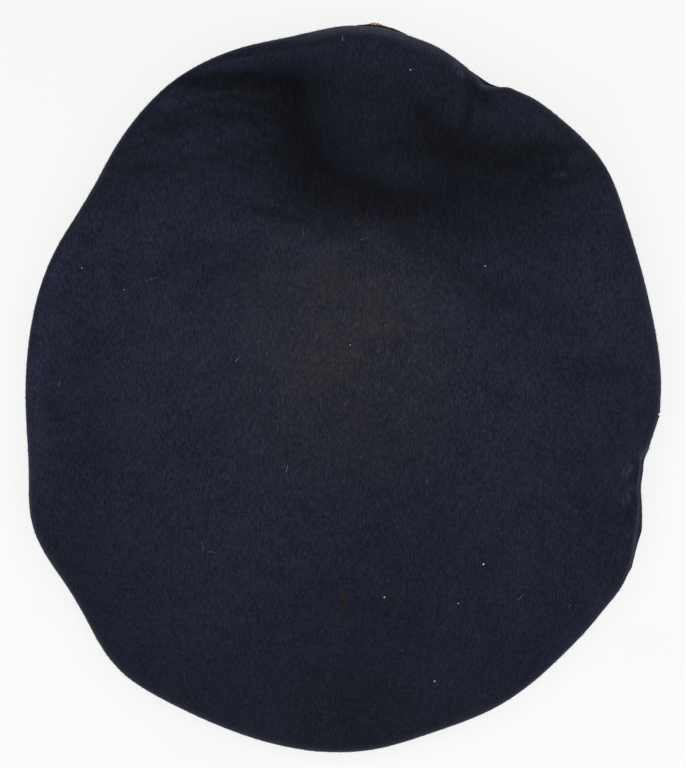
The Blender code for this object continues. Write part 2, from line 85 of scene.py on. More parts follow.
edge_normal = next(mount["axis"] for mount in frame["record"]["mounts"] if mount["name"] == "band_edge")
lean = math.asin(-edge_normal[1])
upright = Matrix.Rotation(lean, 4, "X")
stood = [upright @ vertex.co for vertex in frame["nodes"]["band"].data.vertices]
foot = Vector((
    (min(p.x for p in stood) + max(p.x for p in stood)) / 2,
    (min(p.y for p in stood) + max(p.y for p in stood)) / 2,
    min(p.z for p in stood),
))
into_cap = Matrix.Translation(-foot) @ upright
from_cap = into_cap.inverted()
turn_out = from_cap.to_3x3()
band_half_width = max(abs(p.x - foot.x) for p in stood)
band_half_length = max(abs(p.y - foot.y) for p in stood)
band_height = max(p.z for p in stood) - foot.z
print(f"the cap leans back by {math.degrees(lean):.2f} degrees; the band is {band_height / MM:.0f} mm high")

# %% [markdown]
# The crown's places are given as shares: the first of its half width, towards the wearer's left, and the
# second of its half length, towards the rear, both from a point a little behind the middle of the band.

# %% Name the crown's sizes
CROWN_HALF_WIDTH = 124.5 * MM
CROWN_HALF_LENGTH = 142.5 * MM
CROWN_SETBACK = 12.5 * MM
CROWN_DROP = 3 * MM


def cap_plan(share_x, share_y):
    """A place on the crown, seen from above, in the cap's own frame."""
    return Vector((share_x * CROWN_HALF_WIDTH, CROWN_SETBACK + share_y * CROWN_HALF_LENGTH))


# %% [markdown]
# Every new piece ends in the same way: it gets its mesh and finish, rides on the cap, and hides the plain
# solid it stands for. One helper does that.
#
# Two more helpers start a piece. A solid arrives as loose triangles, so a copy of it is welded and its
# triangles are joined to four-sided faces. The Subdivision Surface modifier then rounds it as cloth rounds.
# The rest put meshes together, close them, and move their vertices in the cap's own frame.

# %% Helpers for every piece
FLAT_PAIR = math.radians(60)


def add_piece(name, body, finish, replaced=(), smooth=True):
    """Turns a bmesh into a finished piece that rides on the cap."""
    mesh = bpy.data.meshes.new(name)
    body.to_mesh(mesh)
    body.free()
    if smooth:
        mesh.shade_smooth()
    mesh.materials.clear()
    mesh.materials.append(finish)
    piece = bpy.data.objects.new(name, mesh)
    bpy.context.scene.collection.objects.link(piece)
    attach(piece, "root")
    if replaced:
        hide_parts(*replaced)
    mesh.calc_loop_triangles()
    print(f"{name}: {len(mesh.loop_triangles)} triangles")
    return piece


def welded_copy(node):
    """A solid's mesh as a bmesh, welded, with its triangles joined to four-sided faces."""
    body = bmesh.new()
    body.from_mesh(frame["nodes"][node].data)
    bmesh.ops.remove_doubles(body, verts=body.verts, dist=WELD)
    bmesh.ops.join_triangles(
        body, faces=body.faces, angle_face_threshold=FLAT_PAIR, angle_shape_threshold=math.pi)
    return body


def refined(body, levels):
    """The same mesh after a Subdivision Surface, as a new bmesh."""
    rough_mesh = bpy.data.meshes.new("rough")
    body.to_mesh(rough_mesh)
    body.free()
    rough = bpy.data.objects.new("rough", rough_mesh)
    bpy.context.scene.collection.objects.link(rough)
    finer = rough.modifiers.new("finer", "SUBSURF")
    finer.levels = levels
    finer.render_levels = levels
    seen = rough.evaluated_get(bpy.context.evaluated_depsgraph_get())
    fine = bmesh.new()
    fine.from_mesh(seen.to_mesh())
    seen.to_mesh_clear()
    bpy.data.objects.remove(rough)
    bpy.data.meshes.remove(rough_mesh)
    return fine


def joined(bodies):
    """One bmesh from several."""
    whole = bmesh.new()
    for body in bodies:
        mesh = bpy.data.meshes.new("part")
        body.to_mesh(mesh)
        body.free()
        whole.from_mesh(mesh)
        bpy.data.meshes.remove(mesh)
    return whole


def open_edges(body):
    """The edges of a bmesh that only one face has."""
    return [edge for edge in body.edges if edge.is_boundary]


def closed(body):
    """Bridges the two open edges of a pair of sheets, and turns every face outward."""
    bmesh.ops.bridge_loops(body, edges=open_edges(body))
    bmesh.ops.recalc_face_normals(body, faces=body.faces)
    return body


def places_of(body):
    """All vertex places of a bmesh, as rows of an array in the cap's own frame."""
    places = np.array([vertex.co for vertex in body.verts])
    matrix = np.array(into_cap)
    return places @ matrix[:3, :3].T + matrix[:3, 3]


def put_places(body, places):
    """Moves the vertices of a bmesh to these places in the cap's own frame."""
    matrix = np.array(from_cap)
    moved = places @ matrix[:3, :3].T + matrix[:3, 3]
    for vertex, place in zip(body.verts, moved):
        vertex.co = place


# %% [markdown]
# The solids hold the crown's large dents. The real cloth also has narrow creases in them and small wrinkles
# beside them. Each is a row in a table: where it starts, bends and ends, as shares; how wide its left and
# right slopes are, for someone who walks along it; and how deep it goes, below zero for a raised edge.
# Sculpting by hand would do as well, but a table can be read and changed. Noise bends every line a little.
# Blender starts this vector noise from the clock, so a seed is set, and each run gives the same cloth.

# %% The crown's fine creases
Crease = namedtuple("Crease", "name start middle end left right depth")
CREASES = (
    Crease("brow fold", (0.60, -0.785), (0.42, -0.800), (0.235, -0.815), 3.0, 5.0, 1.5),
    Crease("brow fold's lower wrinkle", (0.48, -0.755), (0.38, -0.750), (0.27, -0.735), 2.0, 2.5, 0.7),
    Crease("brow fold's second wrinkle", (0.45, -0.715), (0.37, -0.712), (0.29, -0.700), 1.6, 2.2, 0.5),
    Crease("crescent's bend", (0.240, -0.80), (0.200, -0.685), (0.130, -0.582), 4.5, 4.5, 1.5),
    Crease("crescent's foot", (0.165, -0.605), (-0.03, -0.512), (-0.27, -0.500), 4.5, 4.5, 1.3),
    Crease("hollow's floor", (-0.18, -0.695), (-0.31, -0.632), (-0.50, -0.640), 7.0, 4.0, 1.4),
    Crease("hollow's head", (-0.15, -0.745), (-0.18, -0.720), (-0.22, -0.680), 5.0, 4.0, 0.8),
    Crease("hollow's tail", (-0.48, -0.655), (-0.57, -0.672), (-0.68, -0.690), 2.5, 2.5, 0.45),
    Crease("pinch", (-0.56, -0.592), (-0.61, -0.590), (-0.68, -0.598), 1.8, 2.4, 0.6),
    Crease("pinch's lip", (-0.58, -0.605), (-0.61, -0.608), (-0.64, -0.610), 1.0, 1.2, -0.35),
    Crease("notch's lip", (-0.252, -0.908), (-0.274, -0.872), (-0.290, -0.838), 1.5, 1.9, -0.7),
    Crease("notch's wrinkle", (-0.300, -0.820), (-0.312, -0.765), (-0.305, -0.700), 1.6, 2.4, 0.9),
    Crease("notch's dimple", (-0.322, -0.822), (-0.345, -0.808), (-0.368, -0.795), 2.5, 2.5, 0.9),
    Crease("left shoulder", (0.69, -0.655), (0.60, -0.668), (0.52, -0.675), 3.0, 4.0, 0.6),
    Crease("left shoulder's second", (0.50, -0.700), (0.44, -0.700), (0.36, -0.685), 3.0, 3.5, 0.5),
    Crease("left shoulder's third", (0.80, -0.545), (0.69, -0.550), (0.58, -0.540), 2.5, 3.0, 0.55),
    Crease("left shoulder's fourth", (0.60, -0.600), (0.50, -0.585), (0.42, -0.590), 3.0, 3.0, 0.35),
    Crease("short crease behind the brow", (0.34, -0.450), (0.26, -0.443), (0.17, -0.425), 1.4, 2.4, 0.6),
    Crease("its faint end", (0.12, -0.420), (0.05, -0.410), (-0.02, -0.405), 1.6, 2.4, 0.35),
    Crease("left side", (0.88, -0.250), (0.66, -0.300), (0.34, -0.375), 3.0, 3.5, 0.30),
    Crease("left side's tick", (0.90, -0.345), (0.86, -0.340), (0.81, -0.335), 1.6, 2.0, 0.5),
    Crease("left edge's dent", (0.96, 0.100), (0.90, 0.130), (0.84, 0.170), 3.0, 3.0, 0.6),
    Crease("right edge's fold", (-0.94, 0.090), (-0.905, 0.170), (-0.890, 0.260), 2.5, 3.0, 1.2),
    Crease("right edge's second", (-0.94, 0.225), (-0.91, 0.240), (-0.88, 0.300), 2.0, 2.5, 0.8),
    Crease("right edge's lip", (-0.958, 0.100), (-0.903, 0.159), (-0.904, 0.182), 2.2, 2.2, -0.19),
    Crease("right edge's second lip", (-0.936, 0.209), (-0.907, 0.226), (-0.884, 0.262), 2.2, 2.0, -0.17),
    Crease("slanting wrinkle", (-0.22, -0.400), (-0.40, -0.310), (-0.56, -0.250), 5.0, 5.0, 0.4),
)
CREASE_STEPS = 12
LEAST_TAPER = 0.04
WANDER = 1.1 * MM
WANDER_SIZE = 8 * MM
WANDER_SEED = 11
CRUSHED = (0.47, -0.66)
CRUSHED_REACH = (44 * MM, 27 * MM)
WRINKLE_RUN = 14 * MM
WRINKLE_STEP = 5 * MM
WRINKLE_SHARE = 0.10
CRACKLE = 0.5 * MM
# The crushed wrinkles' floors get painted shade.
CRACKLE_SHADE = 0.8

noise.seed_set(WANDER_SEED)


def wandered(plan):
    """Plan places moved a little by noise, so that what is drawn along a line isn't straight."""
    moves = [noise.noise_vector(Vector((x, y, 0)) / WANDER_SIZE) for x, y in plan]
    return plan + np.array(moves)[:, :2] * WANDER


def beside_line(plan, row):
    """Each plan place's distance from a row's curved line, the side it lies on, and how far along it is."""
    start, middle, end = (cap_plan(*place) for place in (row.start, row.middle, row.end))
    bend = 2 * middle - (start + end) / 2
    shares = np.linspace(0, 1, CREASE_STEPS + 1)[:, None]
    line = np.array(start) * (1 - shares) ** 2 + np.array(bend) * 2 * shares * (1 - shares)
    line += np.array(end) * shares ** 2
    nearest = np.full(len(plan), np.inf)
    side = np.zeros(len(plan))
    along = np.zeros(len(plan))
    for step, (here, there) in enumerate(zip(line, line[1:])):
        run = there - here
        away = plan - here
        part = np.clip(away @ run / (run @ run), 0, 1)
        gap = np.linalg.norm(away - part[:, None] * run, axis=1)
        closer = gap < nearest
        nearest = np.where(closer, gap, nearest)
        side = np.where(closer, run[0] * away[:, 1] - run[1] * away[:, 0], side)
        along = np.where(closer, (step + part) / CREASE_STEPS, along)
    return nearest, side, along


def crackle(plan):
    """Short irregular wrinkles, from 0 to 1, where the left of the front has been crushed."""
    away = (plan - np.array(cap_plan(*CRUSHED))) / np.array(CRUSHED_REACH)
    inside = np.clip(1 - (away ** 2).sum(axis=1), 0, 1)
    lines = [noise.noise(Vector((x / WRINKLE_RUN, y / WRINKLE_STEP, 0))) for x, y in plan]
    return inside * np.exp(-(np.array(lines) / WRINKLE_SHARE) ** 2)


def crease_depth(plan):
    """How deep the creases go at each plan place, how much painted shade lies on a crease's floor, and how
    much worn and painted-highlight lip is there.
    """
    wrinkles = crackle(plan)
    depth, floor, lip = wrinkles * CRACKLE, wrinkles * CRACKLE_SHADE, np.zeros(len(plan))
    for crease in CREASES:
        nearest, side, along = beside_line(plan, crease)
        taper = np.sqrt(np.clip(4 * along * (1 - along), LEAST_TAPER, 1))
        width = np.where(side > 0, crease.left, crease.right) * MM * taper
        slope = np.exp(-(nearest / width) ** 2)
        depth += crease.depth * MM * taper * slope
        floor = np.maximum(floor, taper * slope * min(crease.depth, 1))
        lip = np.maximum(lip, taper * slope * min(-2 * crease.depth, 1))
    return depth, floor, lip


print("creases in the table:", len(CREASES))

# %% [markdown]
# Painted shade and painted highlights lie on the nap too: dark fields in the wide hollows of the front and
# along the creases, and lighter ones on ridges and edges. They follow the same kind of lines: a row says how
# far to each side a field fades out, and how much light it takes away, below zero where it paints a
# highlight.

# %% Painted shade and highlight fields on the nap
PaintedLight = namedtuple("PaintedLight", "name start middle end half_width dark")
# Painted shade in hollows and creases, and painted highlights on ridges and edges where dark is below zero.
PAINTED_LIGHT_FIELDS = (
    PaintedLight("front", (0.55, -0.80), (0.00, -0.80), (-0.60, -0.66), 36.0, 0.16),
    PaintedLight("front hollow", (0.26, -0.66), (-0.08, -0.62), (-0.52, -0.62), 20.0, 0.40),
    PaintedLight("crescent's bend", (0.255, -0.77), (0.225, -0.670), (0.150, -0.565), 9.5, 0.45),
    PaintedLight("crescent's foot", (0.165, -0.57), (-0.03, -0.495), (-0.29, -0.495), 9.0, 0.38),
    PaintedLight("below the foot", (-0.03, -0.50), (-0.09, -0.46), (-0.13, -0.41), 5.0, 0.20),
    PaintedLight("hump", (0.19, -0.80), (0.01, -0.79), (-0.17, -0.77), 14.0, 0.17),
    PaintedLight("hump's edge", (0.06, -0.925), (-0.06, -0.915), (-0.18, -0.89), 4.5, -0.26),
    PaintedLight("hollow's near end", (-0.08, -0.635), (-0.17, -0.630), (-0.28, -0.622), 6.0, 0.36),
    PaintedLight("behind the hollow's end", (-0.28, -0.555), (-0.40, -0.550), (-0.52, -0.545), 4.0, 0.22),
    PaintedLight("right shoulder", (-0.35, -0.81), (-0.50, -0.80), (-0.68, -0.70), 7.0, -0.24),
    PaintedLight("brow's upper side", (0.55, -0.81), (0.47, -0.835), (0.38, -0.85), 3.5, -0.24),
    PaintedLight("left corner", (0.73, -0.60), (0.64, -0.62), (0.55, -0.64), 5.0, -0.14),
    PaintedLight("left corner's dip", (0.72, -0.57), (0.69, -0.53), (0.66, -0.48), 5.0, 0.17),
    PaintedLight("left side", (0.74, -0.33), (0.55, -0.36), (0.34, -0.38), 12.0, -0.09),
    PaintedLight("behind the crescent", (0.20, -0.46), (-0.10, -0.45), (-0.42, -0.46), 12.0, 0.24),
    PaintedLight("brow", (0.575, -0.790), (0.40, -0.805), (0.23, -0.800), 3.8, 0.60),
    PaintedLight("brow's corner", (0.33, -0.79), (0.27, -0.78), (0.20, -0.76), 7.5, 0.32),
    PaintedLight("hump's foot", (0.20, -0.79), (0.08, -0.79), (-0.06, -0.77), 8.0, 0.22),
    PaintedLight("right hollow", (-0.17, -0.715), (-0.31, -0.655), (-0.50, -0.650), 8.5, 0.43),
    PaintedLight("right hollow's tail", (-0.48, -0.660), (-0.57, -0.674), (-0.68, -0.690), 2.5, 0.28),
    PaintedLight("behind the hollow", (-0.35, -0.50), (-0.50, -0.42), (-0.62, -0.30), 21.0, 0.20),
    PaintedLight("pinch", (-0.58, -0.612), (-0.64, -0.620), (-0.71, -0.635), 5.0, 0.34),
    PaintedLight("notch", (-0.300, -0.830), (-0.318, -0.770), (-0.308, -0.700), 2.2, 0.34),
    PaintedLight("notch's shade", (-0.278, -0.905), (-0.298, -0.872), (-0.325, -0.832), 2.2, 0.45),
    PaintedLight("notch's dimple", (-0.322, -0.822), (-0.345, -0.808), (-0.368, -0.795), 3.2, 0.50),
    PaintedLight("left front", (0.78, -0.50), (0.45, -0.53), (0.15, -0.48), 22.0, 0.16),
    PaintedLight("left shoulder's first", (0.69, -0.660), (0.60, -0.668), (0.52, -0.675), 3.5, 0.20),
    PaintedLight("left shoulder's second", (0.50, -0.702), (0.44, -0.702), (0.36, -0.688), 3.2, 0.20),
    PaintedLight("short crease", (0.34, -0.450), (0.26, -0.443), (0.17, -0.425), 1.8, 0.24),
    PaintedLight("behind the short crease", (0.42, -0.360), (0.30, -0.355), (0.10, -0.360), 6.0, -0.14),
    PaintedLight("left middle", (0.66, -0.20), (0.58, 0.10), (0.45, 0.35), 28.0, -0.09),
    PaintedLight("right middle", (-0.27, -0.33), (-0.34, -0.29), (-0.42, -0.25), 7.0, 0.18),
    PaintedLight("behind the short crease's end", (-0.03, -0.40), (0.05, -0.36), (0.12, -0.31), 5.0, -0.18),
    PaintedLight("right side", (-0.71, -0.31), (-0.76, -0.25), (-0.79, -0.18), 8.0, -0.18),
    PaintedLight("right side's dip", (-0.73, -0.10), (-0.81, -0.09), (-0.88, -0.08), 6.0, 0.20),
    PaintedLight("right side's second dip", (-0.74, 0.15), (-0.78, 0.20), (-0.80, 0.27), 7.0, 0.14),
    PaintedLight("right edge's lip", (-0.925, 0.10), (-0.905, 0.17), (-0.885, 0.27), 2.5, -0.45),
    PaintedLight("right edge's wedge", (-0.935, 0.135), (-0.925, 0.165), (-0.928, 0.195), 2.0, 0.38),
    PaintedLight("right edge's second wedge", (-0.918, 0.238), (-0.914, 0.258), (-0.912, 0.290), 2.5, 0.22),
    PaintedLight("rear right edge", (-0.86, 0.52), (-0.81, 0.58), (-0.74, 0.64), 3.0, -0.35),
    PaintedLight("left front edge", (0.948, -0.224), (0.915, -0.270), (0.880, -0.344), 4.0, -0.30),
    PaintedLight("left side's dip", (0.82, 0.03), (0.76, 0.11), (0.73, 0.20), 8.0, 0.14),
    PaintedLight("rear right", (-0.34, 0.36), (-0.40, 0.41), (-0.45, 0.47), 11.0, 0.12),
    PaintedLight("rear", (0.80, 0.80), (0.00, 1.00), (-0.80, 0.80), 75.0, 0.28),
    PaintedLight("rear middle", (-0.12, 0.15), (-0.16, 0.45), (-0.10, 0.95), 28.0, 0.20),
    PaintedLight("left rim", (0.94, -0.10), (0.965, 0.12), (0.93, 0.36), 5.0, -0.30),
    PaintedLight("right edge", (-0.85, -0.10), (-0.93, 0.20), (-0.85, 0.60), 22.0, 0.08),
)


def painted_darkness(plan):
    """How much light the painted fields take away at each plan place, below zero where they paint a
    highlight.
    """
    light = np.ones(len(plan))
    for field in PAINTED_LIGHT_FIELDS:
        nearest, _, _ = beside_line(plan, field)
        light *= 1 - field.dark * np.exp(-(nearest / (field.half_width * MM)) ** 2)
    return 1 - light


print("dark fields in the table:", len(PAINTED_LIGHT_FIELDS))

# %% [markdown]
# The crown's top is one panel of thick wool. Its outer face needs many small faces for the creases and its
# inner face needs few, so the shell is split. A walk from one face over every edge that isn't sharp finds
# all faces of one side, because only the seam's edge is sharp. Both sides are refined, and bridge_loops
# closes them again along the seam.

# %% Split and refine the crown's shell
OUTER_LEVELS = 3
INNER_LEVELS = 1
SHARP = math.radians(55)
LEVEL = 0.7


def shell_side(node, outer):
    """The outer or the inner face of a cloth solid, as an open sheet."""
    body = welded_copy(node)
    body.normal_update()
    up = turn_out @ Vector((0, 0, 1 if outer else -1))
    middle = from_cap @ Vector((0, CROWN_SETBACK, 2 * band_height))
    level = [face for face in body.faces if face.normal.dot(up) > LEVEL]
    walk = [min(level, key=lambda face: (face.calc_center_median() - middle).length)]
    side = set(walk)
    while walk:
        for edge in walk.pop().edges:
            if edge.calc_face_angle() < SHARP:
                fresh = [face for face in edge.link_faces if face not in side]
                side.update(fresh)
                walk.extend(fresh)
    bmesh.ops.delete(body, geom=[face for face in body.faces if face not in side], context="FACES")
    return body


outer_sheet = refined(shell_side("crown_top", True), OUTER_LEVELS)
inner_sheet = refined(shell_side("crown_top", False), INNER_LEVELS)
print(f"outer sheet: {len(outer_sheet.faces)} faces, inner sheet: {len(inner_sheet.faces)} faces")

# %% [markdown]
# Cloth that has been worn is never smooth between its creases. Fractal noise, wide from side to side
# across the front and even elsewhere, lifts it by a fraction of a millimetre. The lift and the creases
# fade out next to the seam, where the sewing holds the edge still. Last, the rim is moved by up to two
# millimetres at a few places, because the real outline turns more sharply there than the solids do.

# %% Crease and ruffle the crown
RUFFLE = 0.42 * MM
RUFFLE_SIZE = 17 * MM
RUFFLE_STRETCH = 0.45
RUFFLE_OCTAVES = (0.9, 2.1, 3)
SEAM_FADE = 5 * MM
SEAM_LIP = 1.3 * MM
# Along the seam the lip is paler: partly worn nap, partly painted highlight.
SEAM_WORN_AND_LIT = 0.12
PRESS = 0.95 * MM
PRESS_MIDDLE = -6 * MM
PRESS_REACH = 15 * MM
PRESS_START, PRESS_FULL = 0.80, 0.92
RimMove = namedtuple("RimMove", "name place reach left rear")
RIM_MOVES = (
    RimMove("notch", (-0.360, -0.845), 2.8, 0.7, 0.8),
    RimMove("notch's shoulder", (-0.430, -0.830), 4.2, -0.2, -1.5),
    RimMove("right edge's corner", (-0.948, 0.120), 3.6, 1.5, 0.0),
    RimMove("right edge's fold", (-0.935, 0.250), 11.0, -1.9, 0.0),
    RimMove("rear right edge", (-0.862, 0.531), 9.0, 0.8, -0.6),
    RimMove("left edge", (0.930, 0.420), 14.0, 0.7, 0.2),
)


def seam_distance(body, places):
    """How far each vertex lies from the sheet's open edge."""
    rim = [place for vertex, place in zip(body.verts, places) if vertex.is_boundary]
    tree = KDTree(len(rim))
    for number, place in enumerate(rim):
        tree.insert(place, number)
    tree.balance()
    return np.array([tree.find(place)[2] for place in places])


def ruffle(places):
    """Soft unevenness of worn cloth, from -1 to 1, at each place."""
    lifts = []
    for x, y, z in places:
        front = min(max(-y / CROWN_HALF_LENGTH, 0), 1)
        stretched = Vector((x * (1 - RUFFLE_STRETCH * front), y, z)) / RUFFLE_SIZE
        lifts.append(noise.fractal(stretched, *RUFFLE_OCTAVES))
    return np.array(lifts)


def pressed_in(places):
    """The badge's pin draws the front of the cloth in a little, so that the badge shows past it."""
    aside = (places[:, 0] - PRESS_MIDDLE) / PRESS_REACH
    forward = (CROWN_SETBACK - places[:, 1]) / CROWN_HALF_LENGTH
    share = np.clip((forward - PRESS_START) / (PRESS_FULL - PRESS_START), 0, 1)
    places[:, 1] += PRESS * np.exp(-aside ** 4) * share ** 2 * (3 - 2 * share)
    return places


def rim_moved(places):
    """Moves the cloth beside a few places of the rim, where the outline turns more sharply."""
    plan = places[:, :2].copy()
    for row in RIM_MOVES:
        away = np.linalg.norm(plan - np.array(cap_plan(*row.place)), axis=1) / (row.reach * MM)
        places[:, :2] += np.exp(-away ** 2)[:, None] * np.array((row.left, row.rear)) * MM
    return places


def crease_sheet(body):
    """Presses the creases into a sheet, and stores the painted shade of the floors, the worn and
    painted-highlight lips, and the painted shade and highlight fields for the wool's finish.
    """
    places = places_of(body)
    to_seam = seam_distance(body, places)
    fade = np.clip(to_seam / SEAM_FADE, 0, 1)
    fade = fade ** 2 * (3 - 2 * fade)
    plan = wandered(places[:, :2])
    depth, floor, lip = crease_depth(plan)
    lip = np.maximum(lip, SEAM_WORN_AND_LIT * np.exp(-(to_seam / SEAM_LIP) ** 2))
    stored = {"hollow": floor * fade, "lip": lip, "painted_shading": painted_darkness(plan)}
    places[:, 2] += (ruffle(places) * RUFFLE - depth) * fade
    put_places(body, rim_moved(pressed_in(places)))
    for name, values in stored.items():
        layer = body.verts.layers.float.new(name)
        for vertex, value in zip(body.verts, values):
            vertex[layer] = value


crease_sheet(outer_sheet)
crease_sheet(inner_sheet)
crown_body = closed(joined([outer_sheet, inner_sheet]))
print("open edges left:", len(open_edges(crown_body)))

# %% [markdown]
# Finishes come next. A few short helpers keep the node trees readable: one adds a node and fills or links
# its sockets, and others do one step of arithmetic. Effects that several finishes share are node groups,
# and every finish ends by linking its colour, roughness and bump to its shader.

# %% Helpers for finishes
def add_node(tree, kind, sockets=None, **settings):
    """Adds a node, sets its options, and fills or links its sockets."""
    made = tree.nodes.new(kind)
    for name, value in settings.items():
        setattr(made, name, value)
    for name, value in (sockets or {}).items():
        if isinstance(value, bpy.types.NodeSocket):
            tree.links.new(value, made.inputs[name])
        else:
            made.inputs[name].default_value = value
    return made


def calc(tree, operation, first, second=0.0, clamp=False):
    """One step of arithmetic on values."""
    sockets = {0: first, 1: second}
    return add_node(tree, "ShaderNodeMath", sockets, operation=operation, use_clamp=clamp).outputs[0]


def product(tree, first, second, clamp=False):
    """The product of two values."""
    return calc(tree, "MULTIPLY", first, second, clamp)


def vector_calc(tree, operation, sockets):
    """One step of arithmetic on vectors."""
    return add_node(tree, "ShaderNodeVectorMath", sockets, operation=operation)


def spread(tree, value, low, high, to_low=0.0, to_high=1.0):
    """Maps a value's range smoothly onto another."""
    sockets = {"Value": value, "From Min": low, "From Max": high, "To Min": to_low, "To Max": to_high}
    return add_node(tree, "ShaderNodeMapRange", sockets, interpolation_type="SMOOTHSTEP").outputs[0]


def tint(tree, share, first, second, blend="MIX"):
    """Mixes two colours by a share."""
    sockets = {0: share, 6: first, 7: second}
    return add_node(tree, "ShaderNodeMix", sockets, data_type="RGBA", blend_type=blend).outputs[2]


def new_group(name, inputs, outputs):
    """A shader node group with named number sockets: its tree, its inputs and its output node."""
    tree = bpy.data.node_groups.new(name, "ShaderNodeTree")
    for title, kind, value in inputs:
        socket = tree.interface.new_socket(name=title, in_out="INPUT", socket_type=kind)
        if value is not None:
            socket.default_value = value
    for title in outputs:
        tree.interface.new_socket(name=title, in_out="OUTPUT", socket_type="NodeSocketFloat")
    return tree, tree.nodes.new("NodeGroupInput").outputs, tree.nodes.new("NodeGroupOutput")


def use_group(tree, group, sockets):
    """Places a node group in a finish."""
    return add_node(tree, "ShaderNodeGroup", sockets, node_tree=group).outputs


def new_finish(name):
    """A material with its tree, its Principled shader and the places that its nodes read."""
    finish = bpy.data.materials.new(name)
    finish.use_nodes = True
    tree = finish.node_tree
    place = add_node(tree, "ShaderNodeTexCoord").outputs["Object"]
    return finish, tree, tree.nodes["Principled BSDF"], place


def set_sockets(shader, **values):
    """Sets a shader's own sockets, which are named with spaces."""
    for name, value in values.items():
        shader.inputs[name.replace("_", " ")].default_value = value


def dress(tree, shader, colour, rough, bump=None, **values):
    """Links a colour, a roughness and a bump, given as height, distance and strength, to a shader."""
    tree.links.new(colour, shader.inputs["Base Color"])
    tree.links.new(rough, shader.inputs["Roughness"])
    if bump:
        raised = add_node(tree, "ShaderNodeBump", dict(zip(("Height", "Distance", "Strength"), bump)))
        tree.links.new(raised.outputs["Normal"], shader.inputs["Normal"])
    set_sockets(shader, **values)


# %% [markdown]
# Melton wool is woven, felted and brushed, so that its nap lies one way in short streaks. The nap group
# stretches noise along one direction, bends it a little, and gives the streaks and the finer tufts. It
# could be drawn with an image, but noise has no seams and holds up at any distance.

# %% Build the nap group
FLOAT = "NodeSocketFloat"
VECTOR = "NodeSocketVector"

nap_group, given, result = new_group(
    "brushed_nap",
    [("Vector", VECTOR, None), ("Stretch", VECTOR, (1.0, 0.2, 1.0)), ("Scale", FLOAT, 1500.0),
     ("Wander", FLOAT, 0.0015)],
    ["Streaks", "Tufts"],
)
sway = add_node(nap_group, "ShaderNodeTexNoise", {"Vector": given["Vector"], "Scale": 160.0, "Detail": 2.0})
centred = vector_calc(nap_group, "SUBTRACT", {0: sway.outputs["Color"], 1: (0.5, 0.5, 0.5)})
sized = vector_calc(nap_group, "SCALE", {0: centred.outputs[0], "Scale": given["Wander"]})
swayed = vector_calc(nap_group, "ADD", {0: given["Vector"], 1: sized.outputs[0]})
stretched = vector_calc(nap_group, "MULTIPLY", {0: swayed.outputs[0], 1: given["Stretch"]})
streaks = add_node(nap_group, "ShaderNodeTexNoise", {
    "Vector": stretched.outputs[0], "Scale": given["Scale"], "Detail": 3.0, "Roughness": 0.65})
tufts = add_node(nap_group, "ShaderNodeTexNoise", {
    "Vector": stretched.outputs[0], "Scale": product(nap_group, given["Scale"], 0.35), "Detail": 2.0})
nap_group.links.new(streaks.outputs["Fac"], result.inputs["Streaks"])
nap_group.links.new(tufts.outputs["Fac"], result.inputs["Tufts"])

mottle_group, given, result = new_group(
    "mottle",
    [("Vector", VECTOR, None), ("Size", FLOAT, 40.0), ("Low", FLOAT, 0.35), ("High", FLOAT, 0.65)],
    ["Mask"],
)
clouds = add_node(mottle_group, "ShaderNodeTexNoise", {
    "Vector": given["Vector"], "Scale": given["Size"], "Detail": 4.0, "Roughness": 0.6, "Distortion": 0.4})
mottled = spread(mottle_group, clouds.outputs["Fac"], given["Low"], given["High"])
mottle_group.links.new(mottled, result.inputs["Mask"])


def mottle(tree, place, size, low, high):
    """Irregular clouds as a mask: a larger size gives finer ones."""
    return use_group(tree, mottle_group, {"Vector": place, "Size": size, "Low": low, "High": high})["Mask"]


# %% [markdown]
# The wool finish: navy, with lighter nap streaks, painted shade on the crease floors, and the worn brown
# patch behind the middle of the crown. Cloth that faces the front gets painted shade: its colour is dimmed by
# up to a quarter by the way it faces. Sheen gives the pale glow that a nap has where it is seen edge on.

# %% Build the wool finish
NAVY = (0.0022, 0.0029, 0.0078, 1)
NAVY_NAP = (0.0160, 0.0198, 0.0372, 1)
# Painted shade for the crease floors.
NAVY_CREASE_SHADE = (0.0013, 0.0016, 0.0028, 1)
# Raised lips and the seam: partly worn nap, partly painted highlight.
NAVY_WORN_AND_LIT = (0.0380, 0.0480, 0.0860, 1)
WORN_BROWN = (0.0205, 0.0185, 0.0165, 1)
BARED = (0.0300, 0.0320, 0.0430, 1)
STAIN_BROWN = (0.0125, 0.0092, 0.0070, 1)
SHEEN_BLUE = (0.50, 0.60, 0.90, 1)
# Painted shade for cloth that turns down at the rim.
RIM_PAINTED_SHADE = (0.60, 0.70, 0.86, 1)
# The way towards which sloping cloth gets painted shade.
PAINTED_SHADE_WAY = Vector((0.10, -0.93, 0.35))
Patch = namedtuple("Patch", "centre half_x half_y")
WORN_PATCH = Patch((0.0, -0.06), 66 * MM, 76 * MM)
BARED_PATCH = Patch((-0.04, -0.05), 75 * MM, 85 * MM)
REAR_MARK = Patch((-0.066, 0.62), 2.2 * MM, 7.5 * MM)
BROW_STAIN = Patch((0.37, -0.745), 14 * MM, 5 * MM)
Cloud = namedtuple("Cloud", "size low high weight")
WOOL_CLOUDS = (Cloud(28.0, 0.3, 0.7, 0.12), Cloud(85.0, 0.3, 0.7, 0.09), Cloud(260.0, 0.4, 0.75, 0.11))


